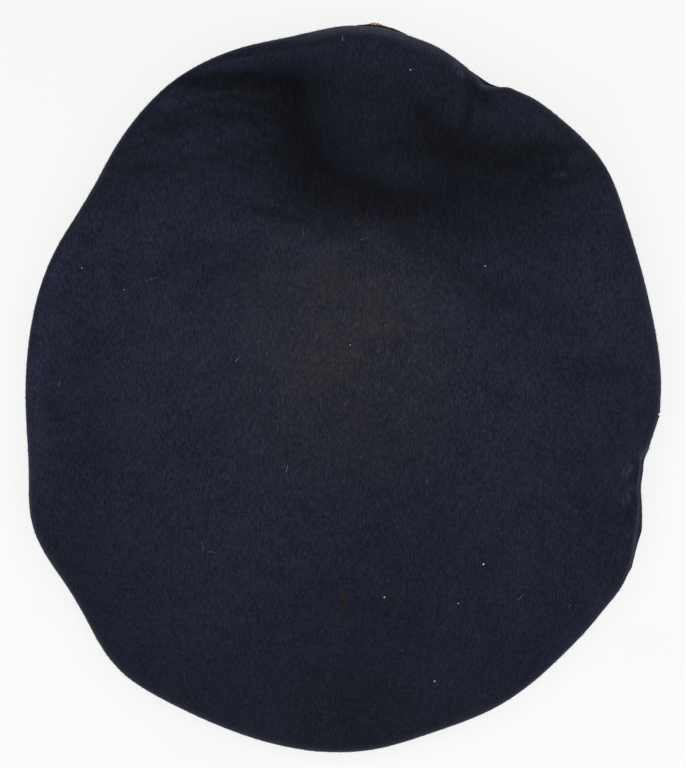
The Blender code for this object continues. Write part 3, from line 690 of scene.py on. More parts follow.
def patch(tree, place, oval):
    """A soft oval mask round a place on the crown's plan."""
    middle = cap_plan(*oval.centre)
    away = vector_calc(tree, "SUBTRACT", {0: place, 1: (middle.x, middle.y, 0)}).outputs[0]
    sized = vector_calc(tree, "MULTIPLY", {0: away, 1: (1 / oval.half_x, 1 / oval.half_y, 0)}).outputs[0]
    return spread(tree, vector_calc(tree, "LENGTH", {0: sized}).outputs["Value"], 1.0, 0.0)


def facing(tree, way, low, high):
    """How far the cloth faces one way, from 0 to 1."""
    normal = add_node(tree, "ShaderNodeNewGeometry").outputs["Normal"]
    slope = vector_calc(tree, "DOT_PRODUCT", {0: normal, 1: way.normalized()})
    return spread(tree, slope.outputs["Value"], low, high)


def shaded(tree, colour, share):
    """A colour dimmed by a share."""
    return vector_calc(tree, "SCALE", {0: colour, "Scale": share}).outputs[0]


def stored(tree, name):
    """A number that the crown's mesh stores at each vertex."""
    return add_node(tree, "ShaderNodeAttribute", attribute_name=name).outputs["Fac"]


def wear_and_painted_light(tree, place, nap, colour):
    """The crown's wear and painted light: the rubbed patch, stains, painted shade on crease floors, worn and
    painted-highlight lips, painted shade and highlight fields, and painted shade on the turned-down rim.
    """
    ragged = mottle(tree, place, 75.0, 0.36, 0.60)
    rubbed = mottle(tree, place, 620.0, 0.38, 0.68)
    specks = product(tree, rubbed, spread(tree, ragged, 0.0, 1.0, 0.25, 0.70))
    specks = calc(tree, "ADD", spread(tree, ragged, 0.0, 1.0, 0.16, 0.28), specks)
    colour = tint(tree, product(tree, patch(tree, place, WORN_PATCH), specks), colour, WORN_BROWN)
    bared = product(tree, spread(tree, nap["Streaks"], 0.52, 0.74), patch(tree, place, BARED_PATCH))
    colour = tint(tree, product(tree, bared, 0.9), colour, BARED)
    mark = product(tree, patch(tree, place, REAR_MARK), 0.8)
    brow = product(tree, product(tree, patch(tree, place, BROW_STAIN), rubbed), 0.5)
    colour = tint(tree, calc(tree, "MAXIMUM", mark, brow), colour, STAIN_BROWN)
    # Painted shade on the crease floors, read from the stored hollow values.
    colour = tint(tree, product(tree, stored(tree, "hollow"), 0.5), colour, NAVY_CREASE_SHADE)
    # Raised lips and the seam are paler: partly worn nap, partly painted highlight.
    lip = product(tree, stored(tree, "lip"), spread(tree, nap["Tufts"], 0.35, 0.6))
    colour = tint(tree, lip, colour, NAVY_WORN_AND_LIT)
    # The fields' painted shade and highlights dim or lift the colour.
    colour = shaded(tree, colour, calc(tree, "SUBTRACT", 1.0, stored(tree, "painted_shading")))
    # Painted shade: cloth that turns down from level is dimmed and tinted blue.
    level = facing(tree, turn_out @ Vector((0, 0, 1)), 0.2, 0.72)
    return tint(tree, 1.0, colour, tint(tree, level, RIM_PAINTED_SHADE, (1, 1, 1, 1)), blend="MULTIPLY")


def make_wool(name, stretch, creased):
    """Napped navy wool whose streaks run along one direction."""
    finish, tree, shader, place = new_finish(name)
    nap = use_group(tree, nap_group, {"Vector": place, "Stretch": stretch, "Scale": 2300.0, "Wander": 0.0012})
    share = product(tree, spread(tree, nap["Streaks"], 0.36, 0.70), 0.70)
    for cloud in WOOL_CLOUDS:
        mask = mottle(tree, place, cloud.size, cloud.low, cloud.high)
        share = calc(tree, "ADD", share, product(tree, mask, cloud.weight), clamp=True)
    colour = tint(tree, share, NAVY, NAVY_NAP)
    if creased:
        colour = wear_and_painted_light(tree, place, nap, colour)
    # Painted shade: cloth that faces the front is dimmed by up to a quarter.
    painted_slope_shade = facing(tree, PAINTED_SHADE_WAY, 0.15, 0.6)
    colour = shaded(tree, colour, spread(tree, painted_slope_shade, 0.0, 1.0, 1.0, 0.75))
    height = calc(tree, "ADD", nap["Streaks"], product(tree, nap["Tufts"], 0.8))
    rough = spread(tree, nap["Tufts"], 0.3, 0.7, 0.82, 0.98)
    dress(tree, shader, colour, rough, (height, 0.35 * MM, 0.7),
          Sheen_Weight=0.07, Sheen_Roughness=0.4, Sheen_Tint=SHEEN_BLUE, Specular_IOR_Level=0.12)
    return finish


crown_wool = make_wool("crown_wool", (1.0, 0.22, 0.6), True)
quarter_wool = make_wool("quarter_wool", (1.0, 1.0, 0.22), False)

crown = add_piece("crown", crown_body, crown_wool, ["crown_top"])

# %% [markdown]
# The four quarters are the side panels under the crown's top. Their cut edges get a small bevel first, so
# that the seams between them read as turned-in cloth, and then the same rounding as the crown.

# %% Make the quarters
EDGE_ROUND = 0.35 * MM
SEAM_TAKE = 0.11 * MM
CUT_END = 0.8


def drawn_together(body):
    """Moves a quarter's two cut ends towards its neighbours, so that the seams between them are tight."""
    body.normal_update()
    moves = {}
    for face in body.faces:
        centre = into_cap @ face.calc_center_median()
        round_way = turn_out @ Vector((CROWN_SETBACK - centre.y, centre.x, 0)).normalized()
        if abs(face.normal.dot(round_way)) > CUT_END:
            moves.update((vertex, face.normal * SEAM_TAKE) for vertex in face.verts)
    for vertex, move in moves.items():
        vertex.co += move
    return body


def softened(body, round_by, levels):
    """A solid with its sharp edges rounded and its faces refined."""
    body.normal_update()
    sharp = [edge for edge in body.edges if edge.is_manifold and edge.calc_face_angle() > SHARP]
    bmesh.ops.bevel(
        body, geom=sharp, offset=round_by, offset_type="OFFSET", affect="EDGES", segments=2, profile=0.5,
        material=-1)
    return refined(body, levels)


QUARTERS = ("quarter_front_right", "quarter_back_right", "quarter_back_left", "quarter_front_left")
quarters = []
for quarter in QUARTERS:
    quarter_body = softened(drawn_together(welded_copy(quarter)), EDGE_ROUND, 2)
    put_places(quarter_body, rim_moved(pressed_in(places_of(quarter_body))))
    quarters.append(add_piece(quarter + "_wool", quarter_body, quarter_wool, [quarter]))

# %% [markdown]
# Many details here are one small shape, repeated: stitches, beads, leaves and fibres. A helper copies such a
# shape to a list of places and joins the copies into one mesh with arrays, which takes far less time than
# an object for each. A place is a matrix in the cap's own frame: X along the shape, Z out of the surface.

# %% Helpers for repeated shapes
def place_copies(template, frames):
    """One bmesh made of copies of a small closed shape, one at each matrix."""
    points = np.array([(*vertex.co, 1) for vertex in template.verts])
    faces = np.array([[corner.vert.index for corner in face.loops] for face in template.faces])
    template.free()
    all_points = [points @ np.array(from_cap @ frame).T[:, :3] for frame in frames]
    all_faces = [faces + number * len(points) for number in range(len(frames))]
    mesh = bpy.data.meshes.new("copies")
    mesh.from_pydata(np.concatenate(all_points), [], np.concatenate(all_faces).tolist())
    body = bmesh.new()
    body.from_mesh(mesh)
    bpy.data.meshes.remove(mesh)
    return body


def frame_at(place, along, outward, size=(1, 1, 1)):
    """A matrix whose X runs along and whose Z points out, at a place, with its three sizes."""
    z = outward.normalized()
    x = (along - z * along.dot(z)).normalized()
    turned = Matrix((x, z.cross(x), z)).transposed().to_4x4()
    return Matrix.Translation(place) @ turned @ Matrix.Diagonal((*size, 1))


def bead():
    """A rounded bead one unit across, for a stitch, a berry or a bead when it is scaled."""
    body = bmesh.new()
    bmesh.ops.create_icosphere(body, subdivisions=2, radius=0.5)
    return body


# %% [markdown]
# The band is an oval, so a place on it is a clock in degrees from the front round to the wearer's right, a
# distance out from its face, and a height. Strap, buttons and stitches are placed by the same helper.

# %% Places round the band
def band_place(clock, proud, height):
    """A place beside the band's outer face."""
    turn = math.radians(clock)
    return Vector((
        -math.sin(turn) * (band_half_width + proud), -math.cos(turn) * (band_half_length + proud), height))


def band_outward(clock):
    """The way that the band's outer face looks."""
    turn = math.radians(clock)
    return Vector((-math.sin(turn) * band_half_length, -math.cos(turn) * band_half_width, 0)).normalized()


def band_along(clock):
    """The way round the band, as its clock runs."""
    return Vector((0, 0, 1)).cross(band_outward(clock)) * -1


def off_band(clock, proud, height):
    """A place that stands straight out from the band's outer face."""
    return band_place(clock, 0, height) + band_outward(clock) * proud


def band_frame(clock, proud, height, size=(1, 1, 1)):
    """A matrix off the band, whose X runs along it and whose Z points out."""
    return frame_at(off_band(clock, proud, height), band_along(clock), band_outward(clock), size)


def two_faced(columns, rows, place_of):
    """A closed sheet: a grid and its copy, put in place by a function, and bridged round their edges."""
    body = bmesh.new()
    bmesh.ops.create_grid(body, x_segments=columns, y_segments=rows, size=1)
    inner = list(body.verts)
    copied = bmesh.ops.duplicate(body, geom=body.verts[:] + body.edges[:] + body.faces[:])
    outer = [item for item in copied["geom"] if isinstance(item, bmesh.types.BMVert)]
    for side, vertices in enumerate((inner, outer)):
        for vertex in vertices:
            vertex.co = from_cap @ place_of(vertex.co.x, vertex.co.y, side)
    return closed(body)


# %% [markdown]
# The photo hides the band, so it is a plain one of ribbed cloth, as such bands are: fine upright ribs, and a
# narrow welt along each edge. A thin lip stands up inside the quarters, where the band is sewn to them. The
# cross-section is drawn once, and spin turns it round. A last loop pushes the round ring out to the oval and
# sinks every second column for the ribs.

# %% Make the band
BAND_WALL = 2.8 * MM
RIB_COLUMNS = 1040
RIB_RELIEF = 0.12 * MM
WELT_HEIGHT = 1.6 * MM
WELT_SINK = 0.25 * MM
BAND_LIP = 1.5 * MM
LIP_WALL = 0.4 * MM
BAND_RINGS = 9


def band_outline():
    """The band's cross-section, from the foot of its inner face to the foot of its outer one."""
    lip = band_height + BAND_LIP
    inside = [(-BAND_WALL + 0.25 * MM, 0), (-BAND_WALL, 0.4 * MM), (-BAND_WALL, lip)]
    inside += [(LIP_WALL - BAND_WALL, lip), (LIP_WALL - BAND_WALL, band_height), (-0.5 * MM, band_height)]
    welt = [(0, 0.3 * MM), (0.02 * MM, WELT_HEIGHT * 0.6), (-WELT_SINK, WELT_HEIGHT)]
    low, high = WELT_HEIGHT + 0.3 * MM, band_height - WELT_HEIGHT - 0.3 * MM
    face = [(-0.02 * MM, low + (high - low) * ring / BAND_RINGS) for ring in range(BAND_RINGS + 1)]
    upper_welt = [(proud, band_height - height) for proud, height in welt]
    return inside + upper_welt + face[::-1] + welt[::-1] + [(-0.5 * MM, 0)]


band_body = bmesh.new()
outline = [band_body.verts.new((1 + proud, 0, height)) for proud, height in band_outline()]
edges = [band_body.edges.new(pair) for pair in zip(outline, outline[1:] + outline[:1])]
bmesh.ops.spin(
    band_body, geom=outline + edges, cent=(0, 0, 0), axis=(0, 0, 1), dvec=(0, 0, 0), angle=math.tau,
    steps=RIB_COLUMNS, use_merge=True)
for vertex in band_body.verts:
    radius = math.hypot(vertex.co.x, vertex.co.y)
    proud = radius - 1
    turn = math.atan2(vertex.co.y, vertex.co.x)
    column = round(turn / math.tau * RIB_COLUMNS)
    on_face = proud > -WELT_SINK / 2 and WELT_HEIGHT < vertex.co.z < band_height - WELT_HEIGHT
    if on_face and column % 2:
        proud -= RIB_RELIEF
    clock = math.degrees(turn)
    vertex.co = from_cap @ off_band(clock, proud, vertex.co.z)
bmesh.ops.recalc_face_normals(band_body, faces=band_body.faces)
print("ribs round the band:", RIB_COLUMNS // 2)

# %% [markdown]
# Leather, braid, felt, thread and gilt are finishes of their own. Grain is a node group, because the peak
# and the strap both use it: Voronoi cells give the pores and noise the soft creases. The other finishes
# take their streaks and clouds from the two groups that the wool uses.

# %% Build the leather finish
grain_group, given, result = new_group(
    "leather_grain", [("Vector", VECTOR, None), ("Pore", FLOAT, 900.0), ("Crease", FLOAT, 90.0)],
    ["Pores", "Creases"])
pores = add_node(
    grain_group, "ShaderNodeTexVoronoi", {"Vector": given["Vector"], "Scale": given["Pore"]},
    feature="DISTANCE_TO_EDGE")
folds = add_node(grain_group, "ShaderNodeTexNoise", {
    "Vector": given["Vector"], "Scale": given["Crease"], "Detail": 5.0, "Distortion": 1.2})
grain_group.links.new(spread(grain_group, pores.outputs["Distance"], 0.0, 0.12), result.inputs["Pores"])
grain_group.links.new(folds.outputs["Fac"], result.inputs["Creases"])

LEATHER = (0.010, 0.009, 0.009, 1)
LEATHER_WORN = (0.060, 0.045, 0.034, 1)


def make_leather(name, wear):
    """Black leather with pores, soft creases and brown wear, as an amount from 0 to 1."""
    finish, tree, shader, place = new_finish(name)
    grain = use_group(tree, grain_group, {"Vector": place, "Pore": 950.0, "Crease": 70.0})
    cloud = mottle(tree, place, 90.0, 0.52, 0.78)
    scuff = product(tree, cloud, spread(tree, grain["Creases"], 0.35, 0.7), clamp=True)
    colour = tint(tree, product(tree, scuff, wear), LEATHER, LEATHER_WORN)
    rough = spread(tree, grain["Creases"], 0.3, 0.75, 0.30, 0.52)
    height = calc(tree, "ADD", product(tree, grain["Pores"], 0.35), grain["Creases"])
    dress(tree, shader, colour, rough, (height, 0.25 * MM, 0.6),
          Specular_IOR_Level=0.5, Coat_Weight=0.15, Coat_Roughness=0.3)
    return finish


peak_leather = make_leather("peak_leather", 0.5)
strap_leather = make_leather("strap_leather", 0.9)

# %% [markdown]
# Felt and braid are dull black and show only fibres and faint colour changes. Thread has a twist, which a
# slanting wave gives. Old gilt is a metal that has gone dull and brown in clouds.

# %% Build the felt, braid, thread and gilt finishes
FELT = (0.006, 0.006, 0.0065, 1)
FELT_FIBRE = (0.022, 0.022, 0.024, 1)
BRAID = (0.009, 0.010, 0.014, 1)
BRAID_FIBRE = (0.026, 0.027, 0.034, 1)
THREAD = (0.012, 0.013, 0.018, 1)
THREAD_LIT = (0.035, 0.036, 0.044, 1)
GILT = (0.66, 0.56, 0.31, 1)
GILT_DULL = (0.30, 0.22, 0.11, 1)


def make_dull_cloth(name, low, high, stretch, size, rough):
    """A dull fibrous cloth between two colours."""
    finish, tree, shader, place = new_finish(name)
    nap = use_group(tree, nap_group, {"Vector": place, "Stretch": stretch, "Scale": size, "Wander": 0.001})
    streaky = product(tree, spread(tree, nap["Streaks"], 0.35, 0.7), 0.7)
    cloudy = product(tree, mottle(tree, place, 55.0, 0.35, 0.7), 0.3)
    colour = tint(tree, calc(tree, "ADD", streaky, cloudy, clamp=True), low, high)
    roughness = spread(tree, nap["Tufts"], 0.3, 0.7, rough - 0.08, rough)
    dress(tree, shader, colour, roughness, (nap["Streaks"], 0.2 * MM, 0.7), Specular_IOR_Level=0.2)
    return finish


def make_thread(name, low, high):
    """Twisted sewing thread."""
    finish, tree, shader, place = new_finish(name)
    twist = add_node(
        tree, "ShaderNodeTexWave", {"Vector": place, "Scale": 700.0, "Distortion": 2.0, "Detail": 1.0},
        bands_direction="DIAGONAL").outputs["Fac"]
    cloud = mottle(tree, place, 120.0, 0.3, 0.7)
    share = product(tree, twist, spread(tree, cloud, 0.0, 1.0, 0.55, 1.0))
    rough = spread(tree, cloud, 0.0, 1.0, 0.6, 0.75)
    dress(tree, shader, tint(tree, share, low, high), rough, (twist, 0.1 * MM, 0.5))
    return finish


def make_gilt(name, dull):
    """Old gilt brass, dulled in clouds by an amount from 0 to 1."""
    finish, tree, shader, place = new_finish(name)
    cloud = mottle(tree, place, 260.0, 0.40, 0.66)
    fine = mottle(tree, place, 1300.0, 0.35, 0.65)
    clouded = calc(tree, "ADD", product(tree, cloud, 0.8), product(tree, fine, 0.3))
    share = product(tree, clouded, dull, clamp=True)
    rough = spread(tree, share, 0.0, 1.0, 0.28, 0.58)
    dress(tree, shader, tint(tree, share, GILT, GILT_DULL), rough, (fine, 0.06 * MM, 0.35), Metallic=1.0)
    return finish


braid = make_dull_cloth("band_braid", BRAID, BRAID_FIBRE, (1.0, 1.0, 0.25), 1800.0, 0.85)
felt = make_dull_cloth("badge_felt", FELT, FELT_FIBRE, (1.0, 1.0, 1.0), 1400.0, 0.97)
black_thread = make_thread("black_thread", THREAD, THREAD_LIT)
gilt = make_gilt("badge_gilt", 0.7)
button_gilt = make_gilt("button_gilt", 0.85)
print("finishes:", len(bpy.data.materials))

# %% [markdown]
# The band gets its braid finish, and two rows of stitches hold its welts. A stitch is one small bead drawn
# out along the seam, so each row is a list of matrices.

# %% Finish the band
STITCH_STEP = 3.0 * MM
STITCH = (2.3 * MM, 0.42 * MM, 0.36 * MM)
WELT_SEWN = 1.1 * MM
BAND_GIRTH = math.pi * (band_half_width + band_half_length)
SEWN_ROWS = (WELT_HEIGHT + WELT_SEWN, band_height - WELT_HEIGHT - WELT_SEWN)

add_piece("band_cloth", band_body, braid, ["band"])
around = int(BAND_GIRTH / STITCH_STEP)
stitches = [
    band_frame(360 * step / around, 0, height, STITCH) for height in SEWN_ROWS for step in range(around)]
add_piece("band_stitches", place_copies(bead(), stitches), black_thread)

# %% [markdown]
# The peak is stiff leather, bent round the brow, with a binding sewn over its edge. It is a flat grid and a
# copy of it, which are bent to the peak's lower and upper faces and bridged round their edges. Where the
# binding lies, the wall is a little thicker and its edge is rounded.

# %% Make the peak
PEAK_REACH = 45 * MM
PEAK_DROP = 28 * MM
PEAK_SPAN = 62.0
PEAK_TOUCH = 30 * MM
PEAK_ARCH = 3 * MM
PEAK_ROOT = 0.5 * MM
PEAK_WALL = 2.5 * MM
PEAK_COLUMNS = 120
PEAK_ROWS = 40
PEAK_ENDS = 0.93
SEAT_GAP = 0.3 * MM
BINDING = 4.5 * MM
BINDING_RAISE = 0.4 * MM
BINDING_STEP = 0.5 * MM
BINDING_SEWN = 1.3 * MM
EDGE_REACH = 1.2 * MM
EDGE_DROP = 0.8 * MM
EDGE_CROWDING = 1.25
PEAK_RUFFLE = 0.12 * MM
PEAK_RUFFLE_SIZE = 14 * MM
PATH_STEPS = 800


def peak_place(turn, share):
    """A place on the peak's underside, from -1 to 1 across it and from 0 at the band to 1 at its edge."""
    root = band_place(turn * PEAK_SPAN, SEAT_GAP, PEAK_ROOT)
    temple = band_place(PEAK_SPAN, SEAT_GAP, PEAK_ROOT)
    tip = band_place(0, PEAK_REACH, 0)
    forward = (tip.y - temple.y) * math.cos(turn * math.pi / 2)
    edge = Vector((temple.x * math.sin(turn * math.pi / 2), temple.y + forward, 0))
    table_at_edge = -(band_half_length - edge.y) * math.tan(lean)
    table_at_temple = -(band_half_length - temple.y) * math.tan(lean)
    aside = max(abs(edge.x) - PEAK_TOUCH, 0) / (abs(temple.x) - PEAK_TOUCH)
    edge.z = table_at_edge + (PEAK_ROOT - table_at_temple) * aside ** 2
    place = root.lerp(edge, share)
    place.z += PEAK_ARCH * 4 * share * (1 - share) * (1 - turn ** 4)
    return place


def peak_rise(turn, share):
    """How far the peak's upper face stands over its lower one."""
    run = (peak_place(turn, 1) - peak_place(turn, 0)).length
    inside = (1 - share) * run
    bound = min(max((BINDING - inside) / BINDING_STEP, 0), 1)
    edge_round = max(1 - inside / EDGE_REACH, 0)
    return PEAK_WALL + BINDING_RAISE * bound - EDGE_DROP * edge_round ** 2


def peak_sheet(x, y, side):
    """A place on the peak's lower or upper face, from a place on the grid."""
    turn, share = x * PEAK_ENDS, (1 - y) / 2
    share = 1 - (1 - share) ** EDGE_CROWDING
    place = peak_place(turn, share)
    place.z += side * peak_rise(turn, share)
    wave = noise.fractal(place / PEAK_RUFFLE_SIZE, 0.8, 2.0, 2)
    place.z += PEAK_RUFFLE * wave * (4 * share * (1 - share))
    return place


peak_body = two_faced(PEAK_COLUMNS, PEAK_ROWS, peak_sheet)
add_piece("peak_leather_piece", peak_body, peak_leather, ["peak"])


def along_peak(share, step, lift):
    """Matrices of stitches along the peak, one every step, at a share of its reach."""
    turns = np.linspace(-PEAK_ENDS, PEAK_ENDS, PATH_STEPS)
    path = [peak_place(turn, share) for turn in turns]
    frames, walked = [], step
    for number in range(1, len(path)):
        run = path[number] - path[number - 1]
        walked += run.length
        if walked >= step:
            walked = 0
            outward = run.cross(peak_place(turns[number], share - 0.05) - path[number])
            outward *= 1 if outward.z > 0 else -1
            place = path[number] + Vector((0, 0, peak_rise(turns[number], share) + lift))
            frames.append(frame_at(place, run, outward, STITCH))
    return frames


BINDING_SHARE = 1 - (BINDING - BINDING_SEWN) / (peak_place(0, 1) - peak_place(0, 0)).length
binding_frames = along_peak(BINDING_SHARE, STITCH_STEP, 0.05 * MM)
add_piece("peak_stitches", place_copies(bead(), binding_frames), black_thread)

# %% [markdown]
# The chin strap lies across the front from button to button. It is a narrow strip of leather with rounded
# edges, round ends and a sewn line along each edge.

# %% Make the chin strap
STRAP_WIDTH = 12 * MM
STRAP_WALL = 2 * MM
STRAP_SPAN = 70.0
STRAP_CLEAR = 2 * MM
STRAP_HEIGHT = PEAK_ROOT + PEAK_WALL + STRAP_CLEAR + STRAP_WIDTH / 2
STRAP_COLUMNS = 260
STRAP_ROWS = 16
STRAP_END = math.degrees(STRAP_WIDTH / (2 * band_half_length - 2 * BAND_WALL))
STRAP_EDGE = 0.5 * MM
STRAP_ROUND = 0.9 * MM
SEWN_IN = 1.5 * MM
GROOVE = 0.12 * MM
GROOVE_WIDTH = 0.35 * MM
BARE_END = 5
END_BLUNT = 0.985


def strap_sheet(x, y, side):
    """A place on the strap's inner or outer face, from a place on the grid."""
    clock = x * (STRAP_SPAN + STRAP_END)
    beyond = max(abs(clock) - STRAP_SPAN, 0) / STRAP_END
    half = STRAP_WIDTH / 2 * math.sqrt(max(1 - (beyond * END_BLUNT) ** 2, 0))
    to_edge = half * (1 - abs(y))
    rounded = STRAP_EDGE * max(1 - to_edge / STRAP_ROUND, 0) ** 2
    groove = GROOVE * math.exp(-((to_edge - SEWN_IN) / GROOVE_WIDTH) ** 2)
    return off_band(clock, SEAT_GAP + side * (STRAP_WALL - rounded - groove), STRAP_HEIGHT + half * y)


strap_body = two_faced(STRAP_COLUMNS, STRAP_ROWS, strap_sheet)
add_piece("chin_strap_leather", strap_body, strap_leather, ["chin_strap"])

strap_girth = (band_half_width + band_half_length) / 2 * math.radians(2 * STRAP_SPAN)
sewn = int(strap_girth / STITCH_STEP)
strap_frames = []
for edge in (-1, 1):
    for step in range(sewn + 1):
        clock = STRAP_SPAN * (2 * step / sewn - 1)
        if abs(clock) < STRAP_SPAN - BARE_END:
            height = STRAP_HEIGHT + edge * (STRAP_WIDTH / 2 - SEWN_IN)
            strap_frames.append(band_frame(clock, SEAT_GAP + STRAP_WALL - 0.02 * MM, height, STITCH))
add_piece("chin_strap_stitches", place_copies(bead(), strap_frames), black_thread)

# %% [markdown]
# The two buttons are stamped gilt domes. Half of a button's outline is drawn once, with its rolled rim, a
# groove and a low dome, and spin turns it round. Its rim is then milled like a rope.

# %% Make the buttons
BUTTON_WIDTH = 14 * MM
BUTTON_DEPTH = 4.8 * MM
BUTTON_STEPS = 96
BUTTON_PROFILE = (
    (0.0, 0.0), (0.90, 0.0), (0.985, 0.10), (1.0, 0.24), (0.985, 0.38), (0.93, 0.46), (0.86, 0.44),
    (0.82, 0.40), (0.78, 0.46), (0.66, 0.66), (0.50, 0.82), (0.33, 0.93), (0.16, 0.985), (0.0, 1.0),
)
MILLED_FROM = 0.84
MILLED_TEETH = 32
MILLED_RELIEF = 0.09


def make_button(name, clock, replaced):
    """A milled gilt button on one end of the strap."""
    body = bmesh.new()
    half = BUTTON_WIDTH / 2
    line = [body.verts.new((share * half, 0, rise * BUTTON_DEPTH)) for share, rise in BUTTON_PROFILE]
    edges = [body.edges.new(pair) for pair in zip(line, line[1:])]
    bmesh.ops.spin(
        body, geom=line + edges, cent=(0, 0, 0), axis=(0, 0, 1), dvec=(0, 0, 0), angle=math.tau,
        steps=BUTTON_STEPS, use_merge=True)
    bmesh.ops.remove_doubles(body, verts=body.verts, dist=WELD)
    for vertex in body.verts:
        share = math.hypot(vertex.co.x, vertex.co.y) / half
        if share > MILLED_FROM:
            turn = math.atan2(vertex.co.y, vertex.co.x)
            vertex.co.z *= 1 + MILLED_RELIEF * math.cos(MILLED_TEETH * turn + 9 * share)
    bmesh.ops.recalc_face_normals(body, faces=body.faces)
    seat = band_frame(clock, 2 * SEAT_GAP + STRAP_WALL, STRAP_HEIGHT)
    bmesh.ops.transform(body, matrix=from_cap @ seat, verts=body.verts)
    add_piece(name, body, button_gilt, [replaced])


make_button("button_right", STRAP_SPAN, "strap_button_right")
make_button("button_left", -STRAP_SPAN, "strap_button_left")

# %% [markdown]
# The badge leans out over the band, so from above only its upper edge shows past the crown. Its felt pad is
# one of the loaded solids. The best plane through the pad's points gives the way that it faces, and every
# part of the badge is then placed by how far it lies across, up and out from the pad's foot.

# %% Find the badge's own places
BADGE_BEND = CROWN_HALF_WIDTH ** 2 / CROWN_HALF_LENGTH

pad_points = np.array([into_cap @ vertex.co for vertex in frame["nodes"]["badge_backing"].data.vertices])
pad_middle = (pad_points.max(axis=0) + pad_points.min(axis=0)) / 2
spread_ways = np.linalg.svd(pad_points - pad_points.mean(axis=0))[2]
badge_out = Vector((0, spread_ways[2][1], spread_ways[2][2])).normalized()
badge_out *= -1 if badge_out.y > 0 else 1
badge_up = Vector((0, badge_out.z, -badge_out.y))
heights = pad_points @ np.array(badge_up)
BADGE_HEIGHT = heights.max() - heights.min()
BADGE_WIDTH = pad_points[:, 0].max() - pad_points[:, 0].min()
badge_foot = badge_up * heights.min() + badge_out * (pad_points @ np.array(badge_out)).max()


def badge_place(across, along, proud):
    """A place on the badge: across to the wearer's left, up from its foot, and out from its felt."""
    turn = across / BADGE_BEND
    place = badge_foot + badge_up * along + badge_out * ((BADGE_BEND + proud) * math.cos(turn) - BADGE_BEND)
    place.x += (BADGE_BEND + proud) * math.sin(turn)
    return place


def badge_frame(across, along, proud, angle, size):
    """A matrix on the badge whose X is turned by an angle from its left."""
    step = 0.1 * MM
    place = badge_place(across, along, proud)
    way = badge_place(across + step * math.cos(angle), along + step * math.sin(angle), proud) - place
    outward = badge_place(across, along, proud + step) - place
    return frame_at(place, way, outward, size)


print(f"badge: {BADGE_WIDTH / MM:.1f} x {BADGE_HEIGHT / MM:.1f} mm")

# %% [markdown]
# The pad is thick black felt. A little noise roughens its face and its cut edge.

# %% Make the felt pad
FELT_RUFFLE = 0.13 * MM
FELT_RUFFLE_SIZE = 1.6 * MM

felt_body = softened(welded_copy("badge_backing"), EDGE_ROUND, 2)
for vertex in felt_body.verts:
    lift = FELT_RUFFLE * noise.fractal(vertex.co / FELT_RUFFLE_SIZE, 0.7, 2.0, 3)
    vertex.co += vertex.normal * lift
add_piece("badge_felt_pad", felt_body, felt, ["badge_backing"])

# %% [markdown]
# The wreath is stamped gilt metal: two branches of pointed leaves that start at the knot and meet under the
# loop. One leaf is modelled from a small grid, which a loop narrows to a point and domes, with a sunk
# midrib. The branches then repeat it in three rows that fan out, with a stem under them and berries between.

# %% Model one leaf
LEAF_COLUMNS = 8
LEAF_ROWS = 6
LEAF_ROOT = 0.12


def leaf():
    """A closed pointed leaf one unit long, half a unit wide and a quarter thick."""
    body = bmesh.new()
    bmesh.ops.create_grid(body, x_segments=LEAF_COLUMNS, y_segments=LEAF_ROWS, size=1)
    for vertex in body.verts:
        along, across = (vertex.co.x + 1) / 2, vertex.co.y
        half = 0.25 * max(math.sin(math.pi * along ** 0.8), 0) ** 0.75 + LEAF_ROOT * (1 - along) * 0.4
        rib = math.exp(-(across / 0.16) ** 2)
        dome = 0.22 * (1 - across ** 2) * (0.4 + 0.6 * math.sin(math.pi * along))
        vertex.co = (along - 0.5, across * half, dome - 0.05 * rib)
    bottom = bmesh.ops.extrude_edge_only(body, edges=open_edges(body))
    sunk = [item for item in bottom["geom"] if isinstance(item, bmesh.types.BMVert)]
    for vertex in sunk:
        vertex.co.z = -0.06
    bmesh.ops.contextual_create(body, geom=open_edges(body))
    bmesh.ops.recalc_face_normals(body, faces=body.faces)
    bmesh.ops.triangulate(body, faces=body.faces)
    return body


# %% [markdown]
# A branch is half an oval. Three leaves stand at each step of it, two that fan out and one over them, and a
# berry lies between them on each side.

# %% Arrange the wreath
WREATH_WIDTH = 5.6 * MM
WREATH_MARGIN = 1.4 * MM
WREATH_LEAVES = 8
LOOP_WIDTH = 10.5 * MM
LOOP_WIRE = 1.7 * MM
LOOP_INSET = 0.9 * MM
LEAF_SIZE = (5.6 * MM, 4.4 * MM, 4.0 * MM)
LEAF_TAPER = 0.22
BERRY = 1.3 * MM
BERRY_ASIDE = 2.1 * MM
BERRY_SEAT = 0.7 * MM
BERRY_AHEAD = 0.045
STEM_WIRE = 1.0 * MM
STEM_SEAT = 0.5 * MM
STEM_STEPS = 40
METAL_SEAT = 0.3 * MM
LeafRow = namedtuple("LeafRow", "fan aside proud back size")
LEAF_FAN = (
    LeafRow(-0.62, -1.15 * MM, 0.35 * MM, 0.015, 0.92),
    LeafRow(0.62, 1.15 * MM, 0.35 * MM, 0.015, 0.92),
    LeafRow(0.0, 0.0, 0.95 * MM, 0.0, 1.0),
)

wreath_foot = WREATH_MARGIN + WREATH_WIDTH / 2
wreath_top = BADGE_HEIGHT - LOOP_INSET - LOOP_WIDTH + LOOP_WIRE
wreath_half_width = BADGE_WIDTH / 2 - wreath_foot
wreath_half_height = (wreath_top - wreath_foot) / 2
wreath_middle = (wreath_top + wreath_foot) / 2


def wreath_place(turn, side, aside=0.0):
    """Across and along of a place on a branch, from 0 at the knot to 1 at the loop."""
    angle = math.pi * turn
    across = side * (wreath_half_width + aside) * math.sin(angle)
    return across, wreath_middle - (wreath_half_height + aside) * math.cos(angle)


